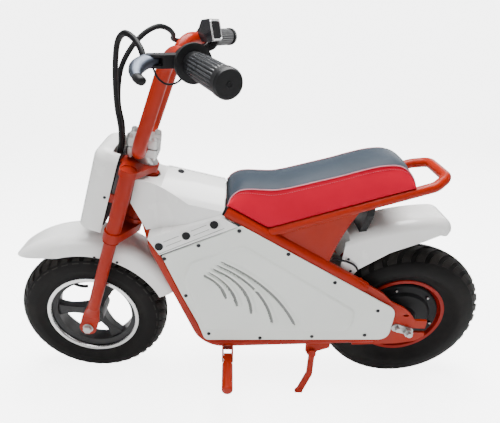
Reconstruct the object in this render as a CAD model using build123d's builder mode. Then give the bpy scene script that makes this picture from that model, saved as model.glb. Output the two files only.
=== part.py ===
"""Electric mini motorcycle for a child, modelled as separate pieces.

The bike is drawn upright: x runs rearward from the front axle, y to the
rider's right and z up from the ground. At the end every piece is moved to
the parked pose, leaning to the left on the side stand.
"""

import math
import os

from build123d import *

os.makedirs("parts", exist_ok=True)

# Wheels
wheelbase = 716.0
front_radius = 170.0
rear_radius = 180.0
front_tyre_half = 34.0
rear_tyre_half = 40.0
front_shoulder_half = 30.0
rear_shoulder_half = 34.0
crown_radius = 40.0
front_flange_radius = 106.0
rear_flange_radius = 101.0
flange_height = 4.5
flange_thickness = 4.0
front_bead_half = 26.0
rear_bead_half = 19.0
barrel_wall = 4.0
well_radius = 91.0
front_hub_radius = 24.0
front_hub_half = 30.0
spoke_count = 3
spoke_half_thickness = 13.0
axle_radius = 6.0
running_gap = 0.05
side_gap = 0.3

# Hub motor
motor_bolt_circle = 76.0
motor_bolt_count = 6

# Steering geometry, heights along the fork counted from the front axle
rake = 18.5
fork_offset = 28.0
leg_spacing_half = 66.0
lower_leg_radius = 13.0
upper_leg_radius = 15.0
leg_wall = 2.5
leg_shoulder = 240.0
leg_top = 404.0
dropout_half_width = 19.0
dropout_thickness = 8.0
dropout_top = 30.0
taper_top = 62.0
crown_bottom = 246.0
crown_height = 20.0
top_clamp_bottom = 392.0
top_clamp_height = 14.0
clamp_boss_wall = 3.0
clamp_web_radius = 19.0
guide_thickness = 4.0
loom_radius = 4.5
wire_radius = 1.5
steerer_radius = 12.5
head_radius = 20.0
head_cup_radius = 23.0
head_cup_height = 9.0
race_height = 4.0
bearing_gap = 0.3

# Frame tubes
tube_radius = 12.5
tube_wall = 2.0
rail_radius = 10.0
frame_half = 62.0
bottom_bend = 60.0
head_bend = 45.0
backbone_radius = 13.5
plate_thickness = 6.0
plate_inner_y = 64.0
gusset_thickness = 4.0

# Key points of the frame, as (x, z) on the left side
head_joint_height = 325.0
upper_corner = (165.0, 382.0)
lower_corner = (265.0, 129.0)
bottom_tube_end = (646.0, 152.5)
diagonal_front = (306.0, 470.0)
diagonal_rear = (606.0, 291.4)
rail_front = (392.0, 423.2)
rail_bend = (700.0, 527.0)
loop_rear = (727.0, 538.0)
loop_half = 42.0
rail_bend_radius = 24.0

# Covers
cover_thickness = 3.0
tank_nose_half = 51.0
tank_half = 74.0
tank_wall = 3.0
tank_crown = 31.0
fender_wall = 3.0

# Handlebar
bar_radius = 12.5
bar_wall = 2.0
bar_clamp_point = (146.0, 582.0)
bar_lower_half = 78.0
bar_top = (217.0, 764.0)
bar_top_half = 88.0
bar_end = (309.0, 752.0)
bar_end_half = 290.0
grip_length = 124.0
grip_radius = 17.0
grip_end_radius = 19.0
grip_collar_radius = 27.0

# Parked pose
lean = 6.0

sin_rake = math.sin(math.radians(rake))
cos_rake = math.cos(math.radians(rake))
front_axle_point = (0, 0, front_radius)
rear_axle_point = (wheelbase, 0, rear_radius)
fork = Plane(origin=front_axle_point, x_dir=(cos_rake, 0, -sin_rake), z_dir=(sin_rake, 0, cos_rake))
crown_top = crown_bottom + crown_height
head_bottom = crown_top + race_height + bearing_gap
head_top = top_clamp_bottom - race_height - bearing_gap
top_clamp_top = top_clamp_bottom + top_clamp_height


def side_view(y=0.0):
    """Plane of a side profile at y, drawn as x rearward and z up, facing left."""
    return Plane(origin=(0, y, 0), x_dir=(1, 0, 0), z_dir=(0, -1, 0))


def wheel_view(axle, y=0.0):
    """Plane of a wheel at y from its middle, centred on the axle, facing left."""
    return Plane(origin=(axle[0], y, axle[2]), x_dir=(1, 0, 0), z_dir=(0, -1, 0))


def wheel_section(axle):
    """Plane through a wheel's axis, drawn as y across and radius up."""
    return Plane(origin=axle, x_dir=(0, 1, 0), z_dir=(1, 0, 0))


def fork_side(y=0.0):
    """Side profile plane of the fork at y: rearward of the legs, then up them."""
    return Plane(origin=(0, y, front_radius), x_dir=(cos_rake, 0, -sin_rake), z_dir=(0, -1, 0))


def fork_point(rearward, y, height):
    """Point given in the fork's own directions."""
    return fork.from_local_coords(Vector(rearward, y, height))


def left(point, y=frame_half):
    """Point of the left side from its (x, z) pair."""
    return Vector(point[0], -y, point[1])


def right(point, y=frame_half):
    """Point of the right side from its (x, z) pair."""
    return Vector(point[0], y, point[1])


def across(start, end):
    """Plane at the start of a straight run, facing its end."""
    return Plane(origin=start, z_dir=Vector(*end) - Vector(*start))


def slope_of(start, end):
    """Rise of a tube over its run."""
    return (end[1] - start[1]) / (end[0] - start[0])


def above(start, end, distance, x):
    """Height at x of the line parallel to start-end and the distance above it."""
    slope = slope_of(start, end)
    return start[1] + slope * (x - start[0]) + distance * math.hypot(1.0, slope)


pieces = {}

# Tyres, solid inside: nothing shows of their air space
tyre_table = [
    # name, axle point, radius, half width, shoulder half width, bead half width, flange radius
    ("front_tyre", front_axle_point, front_radius, front_tyre_half, front_shoulder_half, front_bead_half, front_flange_radius),
    ("rear_tyre", rear_axle_point, rear_radius, rear_tyre_half, rear_shoulder_half, rear_bead_half, rear_flange_radius),
]
for name, axle, radius, half, shoulder, bead, flange in tyre_table:
    drop = crown_radius - math.sqrt(crown_radius**2 - shoulder**2)
    quarter_drop = crown_radius - math.sqrt(crown_radius**2 - (shoulder / 2) ** 2)
    wall_foot = flange + 1.0
    wall_middle = (wall_foot + radius - drop) / 2
    with BuildPart() as tyre:
        with BuildSketch(wheel_section(axle)):
            with BuildLine():
                right_half = [
                    (bead, flange - flange_height),
                    (bead, wall_foot),
                    ((bead + 2 * half) / 3, (wall_foot + wall_middle) / 2),
                    (half, wall_middle),
                    (shoulder, radius - drop),
                    (shoulder / 2, radius - quarter_drop),
                    (0, radius),
                ]
                Polyline(*right_half, *[(-y, r) for y, r in reversed(right_half[:-1])], close=True)
            make_face()
        revolve(axis=Axis(axle, (0, 1, 0)))
    pieces[name] = tyre

# Front rim, one casting with three spokes
with BuildSketch() as spoke_outline:
    with BuildLine():
        root = front_hub_radius - 8.0
        tip = well_radius - 1.0
        ThreePointArc((root, 13.0), (54.0, 9.0), (tip, 17.0))
        Line((tip, 17.0), (tip, -17.0))
        ThreePointArc((tip, -17.0), (54.0, -9.0), (root, -13.0))
        Line((root, -13.0), (root, 13.0))
    make_face()


def barrel_profile(bead, flange):
    """Right half of a rim barrel's section, from the well to the flange and back."""
    seat = flange - flange_height
    return [
        (0, well_radius),
        (bead - 13.0, well_radius),
        (bead - 8.0, seat),
        (bead, seat),
        (bead, flange),
        (bead + flange_thickness, flange),
        (bead + flange_thickness, seat - 3.0),
        (bead + flange_thickness - 2.5, seat - barrel_wall),
        (bead - 5.0, seat - barrel_wall),
        (bead - 10.0, well_radius - barrel_wall),
        (0, well_radius - barrel_wall),
    ]


with BuildPart() as front_rim:
    with BuildSketch(wheel_view(front_axle_point)):
        with PolarLocations(0, spoke_count, start_angle=60):
            add(spoke_outline.sketch)
    extrude(amount=spoke_half_thickness, both=True)
    with BuildSketch(wheel_section(front_axle_point)):
        with BuildLine():
            Polyline((-13, 0), (-13, 20), (-9, 60), (-11, 96), (11, 96), (9, 60), (13, 20), (13, 0), close=True)
        make_face()
    revolve(axis=Axis(front_axle_point, (0, 1, 0)), mode=Mode.INTERSECT)
    with BuildSketch(wheel_section(front_axle_point)):
        with BuildLine():
            half_section = barrel_profile(front_bead_half, front_flange_radius)
            Polyline(*half_section, *[(-y, r) for y, r in reversed(half_section[1:-1])], close=True)
        make_face()
    revolve(axis=Axis(front_axle_point, (0, 1, 0)))
    with BuildSketch(wheel_view(front_axle_point)):
        Circle(front_hub_radius)
    extrude(amount=front_hub_half, both=True)
    with BuildSketch(wheel_view(front_axle_point)):
        Circle(axle_radius + running_gap)
    extrude(amount=front_hub_half, both=True, mode=Mode.SUBTRACT)
pieces["front_rim"] = front_rim

# Front axle with its sleeves and nuts
leg_inner_y = leg_spacing_half - dropout_thickness / 2
leg_outer_y = leg_spacing_half + dropout_thickness / 2
nut_height = 7.0
with BuildPart() as front_axle:
    with BuildSketch(wheel_view(front_axle_point)):
        Circle(axle_radius)
    extrude(amount=leg_outer_y + nut_height + 2.0, both=True)
    for side in (-1, 1):
        with BuildSketch(wheel_view(front_axle_point, side * (front_hub_half + side_gap))):
            Circle(axle_radius + 4.0)
        extrude(amount=-side * (leg_inner_y - front_hub_half - side_gap))
        with BuildSketch(wheel_view(front_axle_point, side * leg_outer_y)):
            Circle(axle_radius + 5.5)
        extrude(amount=-side * 1.5)
        with BuildSketch(wheel_view(front_axle_point, side * (leg_outer_y + 1.5))):
            RegularPolygon(axle_radius + 3.8, 6)
        extrude(amount=-side * nut_height)
pieces["front_axle"] = front_axle

# Fork legs: a thick upper tube, a thinner lower one and a flattened end
with BuildPart() as fork_leg_left:
    with BuildSketch(fork.offset(dropout_top)):
        with Locations((0, -leg_spacing_half)):
            RectangleRounded(2 * dropout_half_width, dropout_thickness, 3.0)
    with BuildSketch(fork.offset(taper_top)):
        with Locations((0, -leg_spacing_half)):
            Circle(lower_leg_radius)
    loft()
    with BuildSketch(fork.offset(taper_top)):
        with Locations((0, -leg_spacing_half)):
            Circle(lower_leg_radius)
    extrude(amount=leg_shoulder - taper_top)
    with BuildSketch(fork.offset(leg_shoulder)):
        with Locations((0, -leg_spacing_half)):
            Circle(upper_leg_radius)
    extrude(amount=leg_top - leg_shoulder)
    with BuildSketch(fork_side(-leg_spacing_half + dropout_thickness / 2)):
        with Locations((0, dropout_top / 2)):
            Rectangle(2 * dropout_half_width, dropout_top)
        Circle(dropout_half_width)
    extrude(amount=dropout_thickness)
    with BuildSketch(fork_side(-leg_spacing_half + 9.0)):
        with Locations((-24.0, 332.0)):
            RectangleRounded(32.0, 18.0, 5.0)
        with Locations((-32.0, 332.0)):
            Circle(2.6, mode=Mode.SUBTRACT)
    extrude(amount=3.7)
    with BuildSketch(fork_side(0)):
        Circle(axle_radius + running_gap)
    extrude(amount=leg_outer_y, mode=Mode.SUBTRACT)
with BuildPart() as fork_leg_right:
    mirror(fork_leg_left.part, about=Plane.XZ)
pieces["fork_leg_left"] = fork_leg_left
pieces["fork_leg_right"] = fork_leg_right

# Lower crown with the steerer, and the upper clamp plate
with BuildPart() as fork_crown:
    with BuildSketch(fork.offset(crown_bottom)):
        with Locations((0, -leg_spacing_half), (0, leg_spacing_half)):
            Circle(upper_leg_radius + clamp_boss_wall)
        with Locations((fork_offset, 0)):
            Circle(clamp_web_radius)
        make_hull()
        with Locations((0, -leg_spacing_half), (0, leg_spacing_half)):
            Circle(upper_leg_radius, mode=Mode.SUBTRACT)
    extrude(amount=crown_height)
    with BuildSketch(fork.offset(crown_bottom)):
        with Locations((fork_offset, 0)):
            Circle(steerer_radius)
    extrude(amount=top_clamp_bottom + top_clamp_height - crown_bottom)
    with BuildSketch(fork.offset(crown_top)):
        with Locations((fork_offset, 0)):
            Circle(head_radius - 1.0)
    extrude(amount=race_height)
pieces["fork_crown"] = fork_crown

with BuildPart() as top_clamp:
    with BuildSketch(fork.offset(top_clamp_bottom)):
        with Locations((0, -leg_spacing_half), (0, leg_spacing_half)):
            Circle(upper_leg_radius + clamp_boss_wall)
        with Locations((fork_offset, 0)):
            Circle(clamp_web_radius)
        make_hull()
        with Locations((0, -leg_spacing_half), (0, leg_spacing_half)):
            Circle(upper_leg_radius, mode=Mode.SUBTRACT)
        with Locations((fork_offset, 0)):
            Circle(steerer_radius, mode=Mode.SUBTRACT)
    extrude(amount=top_clamp_height)
    with BuildSketch(fork.offset(top_clamp_bottom)):
        with Locations((fork_offset, 0)):
            Circle(head_radius - 1.0)
            Circle(steerer_radius, mode=Mode.SUBTRACT)
    extrude(amount=-race_height)
    with BuildSketch(fork.offset(top_clamp_top - guide_thickness)):
        with Locations((-27.0, -27.5)):
            RectangleRounded(24.0, 34.0, 4.0)
        with Locations((-29.6, -35.2), (-29.0, -19.2)):
            Circle(loom_radius + 0.4, mode=Mode.SUBTRACT)
        with Locations((0, -leg_spacing_half)):
            Circle(upper_leg_radius, mode=Mode.SUBTRACT)
    extrude(amount=guide_thickness)
pieces["top_clamp"] = top_clamp

# Head tube with its bearing cups, and the backbone under the tank
diagonal_direction = Vector(diagonal_rear[0] - diagonal_front[0], 0, diagonal_rear[1] - diagonal_front[1])
cross_front = Vector(diagonal_front[0] + 16.0, 0, diagonal_front[1] - 9.5)
with BuildPart() as head_tube:
    backbone_start = fork_point(fork_offset, 0, 350.0)
    with BuildSketch(across(backbone_start, cross_front)):
        Circle(backbone_radius)
        Circle(backbone_radius - tube_wall, mode=Mode.SUBTRACT)
    extrude(amount=(cross_front - backbone_start).length)
    with BuildSketch(side_view(0)):
        with Locations((cross_front.X, cross_front.Z)):
            Circle(tube_radius)
    extrude(amount=frame_half, both=True, mode=Mode.SUBTRACT)
    with BuildSketch(fork.offset(head_bottom)):
        with Locations((fork_offset, 0)):
            Circle(head_radius)
    extrude(amount=head_top - head_bottom)
    for start in (head_bottom, head_top - head_cup_height):
        with BuildSketch(fork.offset(start)):
            with Locations((fork_offset, 0)):
                Circle(head_cup_radius)
        extrude(amount=head_cup_height)
    with BuildSketch(fork.offset(head_bottom + head_cup_height)):
        with Locations((fork_offset, 0)):
            Circle(head_radius - 4.0)
    extrude(amount=head_top - head_bottom - 2 * head_cup_height, mode=Mode.SUBTRACT)
    with BuildSketch(fork.offset(head_bottom)):
        with Locations((fork_offset, 0)):
            Circle(steerer_radius + running_gap)
    extrude(amount=head_top - head_bottom, mode=Mode.SUBTRACT)
pieces["head_tube"] = head_tube

# Main tubes: from the head, down behind the front wheel and back to the axle plates
with BuildPart() as diagonal_tube_left:
    with BuildSketch(across(left(diagonal_front), left(diagonal_rear))):
        Circle(tube_radius)
        Circle(tube_radius - tube_wall, mode=Mode.SUBTRACT)
    extrude(amount=diagonal_direction.length)

with BuildPart() as axle_plate_left:
    with BuildSketch(side_view(-plate_inner_y)):
        with BuildLine():
            Polyline(
                (590, 314), (645, 281), (668, 258), (700, 241), (716, 226), (729, 208), (755, 208), (755, 186.2),
                (716, 186.2), (716, 173.8), (757, 173.8), (757, 163), (740, 149), (700, 140), (600, 134),
                (600, 165), (632, 172), (642, 205), (622, 262), (584, 291), close=True,
            )
        make_face()
        with Locations((706, 222)):
            SlotOverall(12, 6, mode=Mode.SUBTRACT)
        with Locations((716, 180)):
            Circle(6.2, mode=Mode.SUBTRACT)
    extrude(amount=plate_thickness)

with BuildPart() as main_tube_left:
    with BuildLine() as main_run:
        FilletPolyline(
            fork_point(fork_offset, 0, head_joint_height), left(upper_corner), left(lower_corner), left(bottom_tube_end),
            radius=[head_bend, bottom_bend],
        )
    with BuildSketch(Plane(origin=main_run.line @ 0, z_dir=main_run.line % 0)):
        Circle(tube_radius)
        Circle(tube_radius - tube_wall, mode=Mode.SUBTRACT)
    sweep()
    with BuildSketch(fork.offset(head_bottom)):
        with Locations((fork_offset, 0)):
            Circle(head_radius)
    extrude(amount=head_top - head_bottom, mode=Mode.SUBTRACT)
    split(bisect_by=Plane.XZ.offset(0.2), keep=Keep.TOP)
    add(axle_plate_left.part, mode=Mode.SUBTRACT)

with BuildPart() as diagonal_left:
    add(diagonal_tube_left.part)
    add(axle_plate_left.part, mode=Mode.SUBTRACT)

for name, source in (("main_tube", main_tube_left), ("diagonal_tube", diagonal_left), ("axle_plate", axle_plate_left)):
    with BuildPart() as mirrored:
        mirror(source.part, about=Plane.XZ)
    pieces[name + "_left"] = source
    pieces[name + "_right"] = mirrored

# Cross tubes that tie the two sides together
bottom_slope = (bottom_tube_end[1] - lower_corner[1]) / (bottom_tube_end[0] - lower_corner[0])
cross_table = [
    # x, z, radius
    (cross_front.X, cross_front.Z, tube_radius),
    (330.0, lower_corner[1] + bottom_slope * 65.0, tube_radius - 2.5),
    (515.0, lower_corner[1] + bottom_slope * 250.0, tube_radius - 2.5),
]
with BuildPart() as cross_tubes:
    for x, z, radius in cross_table:
        with BuildSketch(side_view(0)):
            with Locations((x, z)):
                Circle(radius)
                Circle(radius - tube_wall, mode=Mode.SUBTRACT)
        extrude(amount=frame_half, both=True)
    for point, end in ((left(diagonal_front), left(diagonal_rear)), (right(diagonal_front), right(diagonal_rear))):
        with BuildSketch(across(point, end)):
            Circle(tube_radius)
        extrude(amount=diagonal_direction.length, mode=Mode.SUBTRACT)
    for side_point in (left, right):
        with BuildSketch(across(side_point(lower_corner), side_point(bottom_tube_end))):
            Circle(tube_radius)
        extrude(amount=bottom_tube_end[0] - lower_corner[0], mode=Mode.SUBTRACT)
pieces["cross_tubes"] = cross_tubes

# Seat rails, grab loop and gusset plates
with BuildPart() as seat_frame:
    with BuildLine() as rail_run:
        FilletPolyline(
            left(rail_front), left(rail_bend), left(loop_rear, loop_half), right(loop_rear, loop_half),
            right(rail_bend), right(rail_front), radius=rail_bend_radius,
        )
    with BuildSketch(Plane(origin=rail_run.line @ 0, z_dir=rail_run.line % 0)):
        Circle(rail_radius)
        Circle(rail_radius - tube_wall, mode=Mode.SUBTRACT)
    sweep()
    for side in (-1, 1):
        with BuildSketch(side_view(side * (frame_half - gusset_thickness / 2))):
            with BuildLine():
                Polyline((400, 424), (520, 352), (526, 375))
                ThreePointArc((526, 375), (541, 420), (566, 472))
                Line((566, 472), (400, 424))
            make_face()
        extrude(amount=-side * gusset_thickness)
    for side_point in (left, right):
        with BuildSketch(across(side_point(diagonal_front), side_point(diagonal_rear))):
            Circle(tube_radius)
        extrude(amount=diagonal_direction.length, mode=Mode.SUBTRACT)
        with BuildSketch(across(side_point(rail_front), side_point(rail_bend))):
            Circle(rail_radius - tube_wall)
        extrude(amount=Vector(rail_bend[0] - rail_front[0], rail_bend[1] - rail_front[1]).length - 20, mode=Mode.SUBTRACT)
pieces["seat_frame"] = seat_frame

# Battery, one block on its tray
tray_front_x = 326.0
tray_rear_x = 520.0
tray_wall = 3.0
cross_radius = tube_radius - 2.5


def floor_line(x, lift):
    """Height at x above the bottom tubes' centre line."""
    return above(lower_corner, bottom_tube_end, cross_radius + 0.2 + lift, x)


with BuildPart() as battery_tray:
    with BuildSketch(side_view(0)):
        with BuildLine():
            Polyline(
                (tray_front_x, floor_line(tray_front_x, 0)), (tray_rear_x, floor_line(tray_rear_x, 0)),
                (tray_rear_x, floor_line(tray_rear_x, tray_wall)), (tray_front_x, floor_line(tray_front_x, tray_wall)), close=True,
            )
        make_face()
    extrude(amount=frame_half - tube_radius - 2.0, both=True)
pieces["battery_tray"] = battery_tray
with BuildPart() as battery_block:
    with BuildSketch(side_view(0)):
        with BuildLine():
            Polyline(
                (332, floor_line(332, tray_wall + 0.2)), (514, floor_line(514, tray_wall + 0.2)),
                (504, 300), (360, 380), (320, 330), close=True,
            )
        make_face()
    extrude(amount=44.0, both=True)
pieces["battery_block"] = battery_block

# Rear rim ring and the hub motor inside it
with BuildPart() as rear_rim:
    with BuildSketch(wheel_section(rear_axle_point)):
        with BuildLine():
            half_section = barrel_profile(rear_bead_half, rear_flange_radius)
            Polyline(*half_section, *[(-y, r) for y, r in reversed(half_section[1:-1])], close=True)
        make_face()
    revolve(axis=Axis(rear_axle_point, (0, 1, 0)))
pieces["rear_rim"] = rear_rim

motor_radius = well_radius - barrel_wall
motor_boss_half = 46.0
with BuildPart() as motor_hub:
    with BuildSketch(wheel_section(rear_axle_point)):
        with BuildLine():
            cover = [(18, motor_radius), (21, 84), (22, 68), (28, 62), (31, 34), (40, 30), (motor_boss_half, 26)]
            bore = axle_radius + running_gap
            Polyline(
                *cover, (motor_boss_half, bore), (-motor_boss_half, bore), *[(-y, r) for y, r in reversed(cover)],
                close=True,
            )
        make_face()
    revolve(axis=Axis(rear_axle_point, (0, 1, 0)))
    for side in (-1, 1):
        with BuildSketch(wheel_view(rear_axle_point, side * 21.5)):
            with PolarLocations(motor_bolt_circle, motor_bolt_count, start_angle=46):
                Circle(4.0)
        extrude(amount=-side * 3.5)
pieces["motor_hub"] = motor_hub

# Rear axle with sleeves, torque plates and nuts
plate_outer_y = plate_inner_y + plate_thickness
with BuildPart() as rear_axle:
    with BuildSketch(wheel_view(rear_axle_point)):
        Circle(axle_radius)
    extrude(amount=plate_outer_y + 18.0, both=True)
    for side in (-1, 1):
        with BuildSketch(wheel_view(rear_axle_point, side * (motor_boss_half + side_gap))):
            Circle(axle_radius + 4.0)
        extrude(amount=-side * (plate_inner_y - motor_boss_half - side_gap))
        with BuildSketch(wheel_view(rear_axle_point, side * plate_outer_y)):
            SlotCenterPoint((-12, 4), (3, -1), 20)
        extrude(amount=-side * 3.0)
        with BuildSketch(wheel_view(rear_axle_point, side * (plate_outer_y + 3.0))):
            RegularPolygon(axle_radius + 4.5, 6)
            with Locations((-24, 8)):
                RegularPolygon(6.0, 6)
        extrude(amount=-side * 8.0)
pieces["rear_axle"] = rear_axle

# Stem: a tapered neck on the top clamp and a split block round the bar
bar_middle = Vector(bar_clamp_point[0], 0, bar_clamp_point[1])
stem_tilt = math.radians(8.0)
stem = Plane(
    origin=bar_middle, x_dir=(math.cos(stem_tilt), 0, -math.sin(stem_tilt)), z_dir=(math.sin(stem_tilt), 0, math.cos(stem_tilt)),
)
stem_half_width = 29.0
stem_block = (60.0, 34.0)
with BuildPart() as bar_clamp:
    with BuildSketch(fork.offset(top_clamp_top)):
        with Locations((20.0, 0)):
            Circle(24.0)
    with BuildSketch(stem.offset(-stem_block[1] / 2)):
        RectangleRounded(40.0, 2 * stem_half_width - 8.0, 12.0)
    loft()
    with BuildSketch(stem.offset(-stem_block[1] / 2)):
        RectangleRounded(stem_block[0], 2 * stem_half_width, 6.0)
    extrude(amount=stem_block[1])
    with BuildSketch(stem.offset(-1.2)):
        Rectangle(stem_block[0] + 2, 2 * stem_half_width + 2)
    extrude(amount=2.4, mode=Mode.SUBTRACT)
    with BuildSketch(stem.offset(-stem_block[1] / 2 - 6.0)):
        with GridLocations(46.0, 42.0, 2, 2):
            Circle(4.0)
    extrude(amount=stem_block[1] + 14.0)
    with BuildSketch(stem.offset(stem_block[1] / 2)):
        with GridLocations(46.0, 42.0, 2, 2):
            Circle(6.5)
    extrude(amount=6.0)
    with BuildSketch(side_view(0)):
        with Locations(bar_clamp_point):
            Circle(bar_radius)
    extrude(amount=stem_half_width, both=True, mode=Mode.SUBTRACT)
pieces["bar_clamp"] = bar_clamp

# Handlebar
with BuildPart() as handlebar:
    with BuildLine() as bar_run:
        FilletPolyline(
            left(bar_end, bar_end_half), left(bar_top, bar_top_half), left(bar_clamp_point, bar_lower_half),
            right(bar_clamp_point, bar_lower_half), right(bar_top, bar_top_half), right(bar_end, bar_end_half),
            radius=[45.0, 36.0, 36.0, 45.0],
        )
    with BuildSketch(Plane(origin=bar_run.line @ 0, z_dir=bar_run.line % 0)):
        Circle(bar_radius)
        Circle(bar_radius - bar_wall, mode=Mode.SUBTRACT)
    sweep()
pieces["handlebar"] = handlebar

# Grips, drawn along the bar from its left end: forward, up, inward
bar_end_point = left(bar_end, bar_end_half)
grip_inward = (left(bar_top, bar_top_half) - bar_end_point).normalized()
grip_forward = Vector(-grip_inward.Y, grip_inward.X, 0).normalized()
grip_plane = Plane(origin=bar_end_point, x_dir=grip_forward, z_dir=grip_inward)
end_cap = 4.0
with BuildPart() as grip_left:
    with BuildSketch(grip_plane):
        Circle(grip_radius)
    extrude(amount=grip_length)
    with BuildSketch(grip_plane):
        Circle(grip_end_radius)
    extrude(amount=10.0)
    with BuildSketch(grip_plane):
        Circle(grip_end_radius)
    extrude(amount=-end_cap, taper=25)
    with BuildSketch(grip_plane.offset(grip_length - 12.0)):
        Circle(grip_collar_radius)
    extrude(amount=7.0)
    with BuildSketch(grip_plane):
        Circle(bar_radius)
    extrude(amount=grip_length, mode=Mode.SUBTRACT)
with BuildPart() as grip_right:
    mirror(grip_left.part, about=Plane.XZ)
pieces["grip_left"] = grip_left
pieces["grip_right"] = grip_right

# Brake lever: a clamp ring with its arm, and the blade with a ball end
lever_plane = Plane(origin=bar_end_point, x_dir=grip_inward, z_dir=grip_plane.y_dir)
ring_start = grip_length + 8.0
with BuildPart() as lever_bracket:
    with BuildSketch(grip_plane.offset(ring_start)):
        Circle(bar_radius + 5.0)
    extrude(amount=18.0)
    with BuildSketch(lever_plane):
        with BuildLine():
            Polyline((ring_start, 8), (ring_start + 4, 40), (ring_start + 14, 58), (ring_start + 26, 54), (ring_start + 18, 8), close=True)
        make_face()
    extrude(amount=9.0, both=True)
    with BuildSketch(lever_plane.offset(-5.3)):
        with Locations((ring_start + 12, 50)):
            Rectangle(44, 26)
    extrude(amount=10.6, mode=Mode.SUBTRACT)
    with BuildSketch(lever_plane.offset(-9.0)):
        with Locations((ring_start + 14, 48)):
            Circle(3.0)
    extrude(amount=18.0)
    with BuildSketch(grip_plane.offset(ring_start)):
        Circle(bar_radius)
    extrude(amount=28.0, mode=Mode.SUBTRACT)
pieces["lever_bracket"] = lever_bracket
with BuildPart() as brake_lever:
    with BuildSketch(lever_plane):
        with BuildLine():
            ThreePointArc((ring_start + 24, 54), (104, 74), (64, 64))
            Line((64, 64), (64, 52))
            ThreePointArc((64, 52), (104, 61), (ring_start + 4, 42))
            Line((ring_start + 4, 42), (ring_start + 24, 54))
        make_face()
        with Locations((ring_start + 14, 48)):
            Circle(8.0)
            Circle(3.0, mode=Mode.SUBTRACT)
    extrude(amount=5.0, both=True)
    with Locations(lever_plane.from_local_coords(Vector(62, 58, 0))):
        Sphere(9.0)
pieces["brake_lever"] = brake_lever

# Display housing by the right grip, drawn on the left and mirrored
with BuildPart() as display_left:
    with BuildSketch(grip_plane.offset(ring_start)):
        Circle(bar_radius + 4.0)
    extrude(amount=14.0)
    with BuildSketch(grip_plane.offset(ring_start - 4)):
        with BuildLine():
            Polyline((-10, 6), (-18, -6), (-42, -4), (-33, 38), (-16, 35), (-8, 14), close=True)
        make_face()
    extrude(amount=46.0)
    fillet(display_left.edges().filter_by(lambda e: abs((e % 0.5).dot(grip_inward)) > 0.99).sort_by(lambda e: (grip_plane.to_local_coords(e.center())).X)[:3], 3.0)
    with BuildSketch(grip_plane.offset(ring_start - 4)):
        Circle(bar_radius)
    extrude(amount=46.0, mode=Mode.SUBTRACT)
with BuildPart() as display:
    mirror(display_left.part, about=Plane.XZ)
pieces["display"] = display


# Front shield: a shell open to the rear and below
def shield_form(inset):
    """Rounded block of the shield's outside, smaller all round by the inset."""
    with BuildPart() as form:
        with BuildSketch(fork.offset(252.0 - 20 * inset)):
            with Locations((-22.0, 0)):
                Rectangle(100.0 - 2 * inset, 128.0 - 2 * inset)
        extrude(amount=174.0 + 20 * inset - inset)
        fillet(form.edges().filter_by(Axis((0, 0, 0), fork.z_dir)).sort_by(Axis((0, 0, 0), fork.x_dir))[:2], 27.0 - inset)
        fillet(form.faces().sort_by(Axis((0, 0, 0), fork.z_dir))[-1].edges(), 24.0 - inset)
    return form.part


shield_outside = shield_form(0)
shield_inside = shield_form(cover_thickness)
with BuildPart() as front_shield:
    add(shield_outside)
    add(shield_inside, mode=Mode.SUBTRACT)
    split(bisect_by=Plane(origin=fork_point(-24.0, 0, 0), z_dir=-fork.x_dir), keep=Keep.TOP)
    with BuildSketch(fork.offset(400.0)):
        with Locations((-28.0, 0)):
            Rectangle(20.0, 104.0)
    extrude(amount=60.0, mode=Mode.SUBTRACT)
    with BuildSketch(fork_side(0)):
        with Locations((-32.0, 332.0)):
            Circle(2.6)
    extrude(amount=70.0, both=True, mode=Mode.SUBTRACT)
pieces["front_shield"] = front_shield


def wheel_section_at(axle, angle):
    """Plane through a wheel's axis at an angle from the rear, toward the top."""
    a = math.radians(angle)
    return Plane(origin=axle, x_dir=(0, 1, 0), z_dir=(math.sin(a), 0, -math.cos(a)))


# Front mudguard: an arched channel round the wheel, level along its front edge
guard_half = 48.0
guard_top = 222.0
guard_skirt = 178.0
guard_shoulder = 24.0
guard_front_level = 341.0
guard_start = 134.0
guard_sweep = 110.0


def guard_section(inset):
    """Arched section of the mudguard, as y across and radius up."""
    with BuildSketch() as section:
        with Locations((0, (guard_top + guard_skirt) / 2 - inset)):
            Rectangle(2 * (guard_half - inset), guard_top - guard_skirt)
        fillet(section.vertices().group_by(Axis.Y)[-1], guard_shoulder - inset)
    return section.sketch


with BuildPart() as front_fender:
    with BuildSketch(wheel_section_at(front_axle_point, guard_start)):
        add(guard_section(0))
        add(guard_section(fender_wall), mode=Mode.SUBTRACT)
    revolve(axis=Axis(front_axle_point, (0, 1, 0)), revolution_arc=guard_sweep)
    with BuildSketch(side_view(0)):
        with Locations((-90.0, guard_front_level - 50.0)):
            Rectangle(220.0, 100.0)
    extrude(amount=guard_half + 2, both=True, mode=Mode.SUBTRACT)
    for side in (-1, 1):
        with BuildSketch(fork_side(side * (guard_half - fender_wall))):
            with Locations((0, 196.0)):
                Circle(8.0)
        extrude(amount=-side * (leg_spacing_half - lower_leg_radius - guard_half + fender_wall - 0.2))
pieces["front_fender"] = front_fender

# Rear mudguard: a long channel under the seat
rear_guard_half = 47.0
rear_guard_shoulder = 20.0

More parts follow.
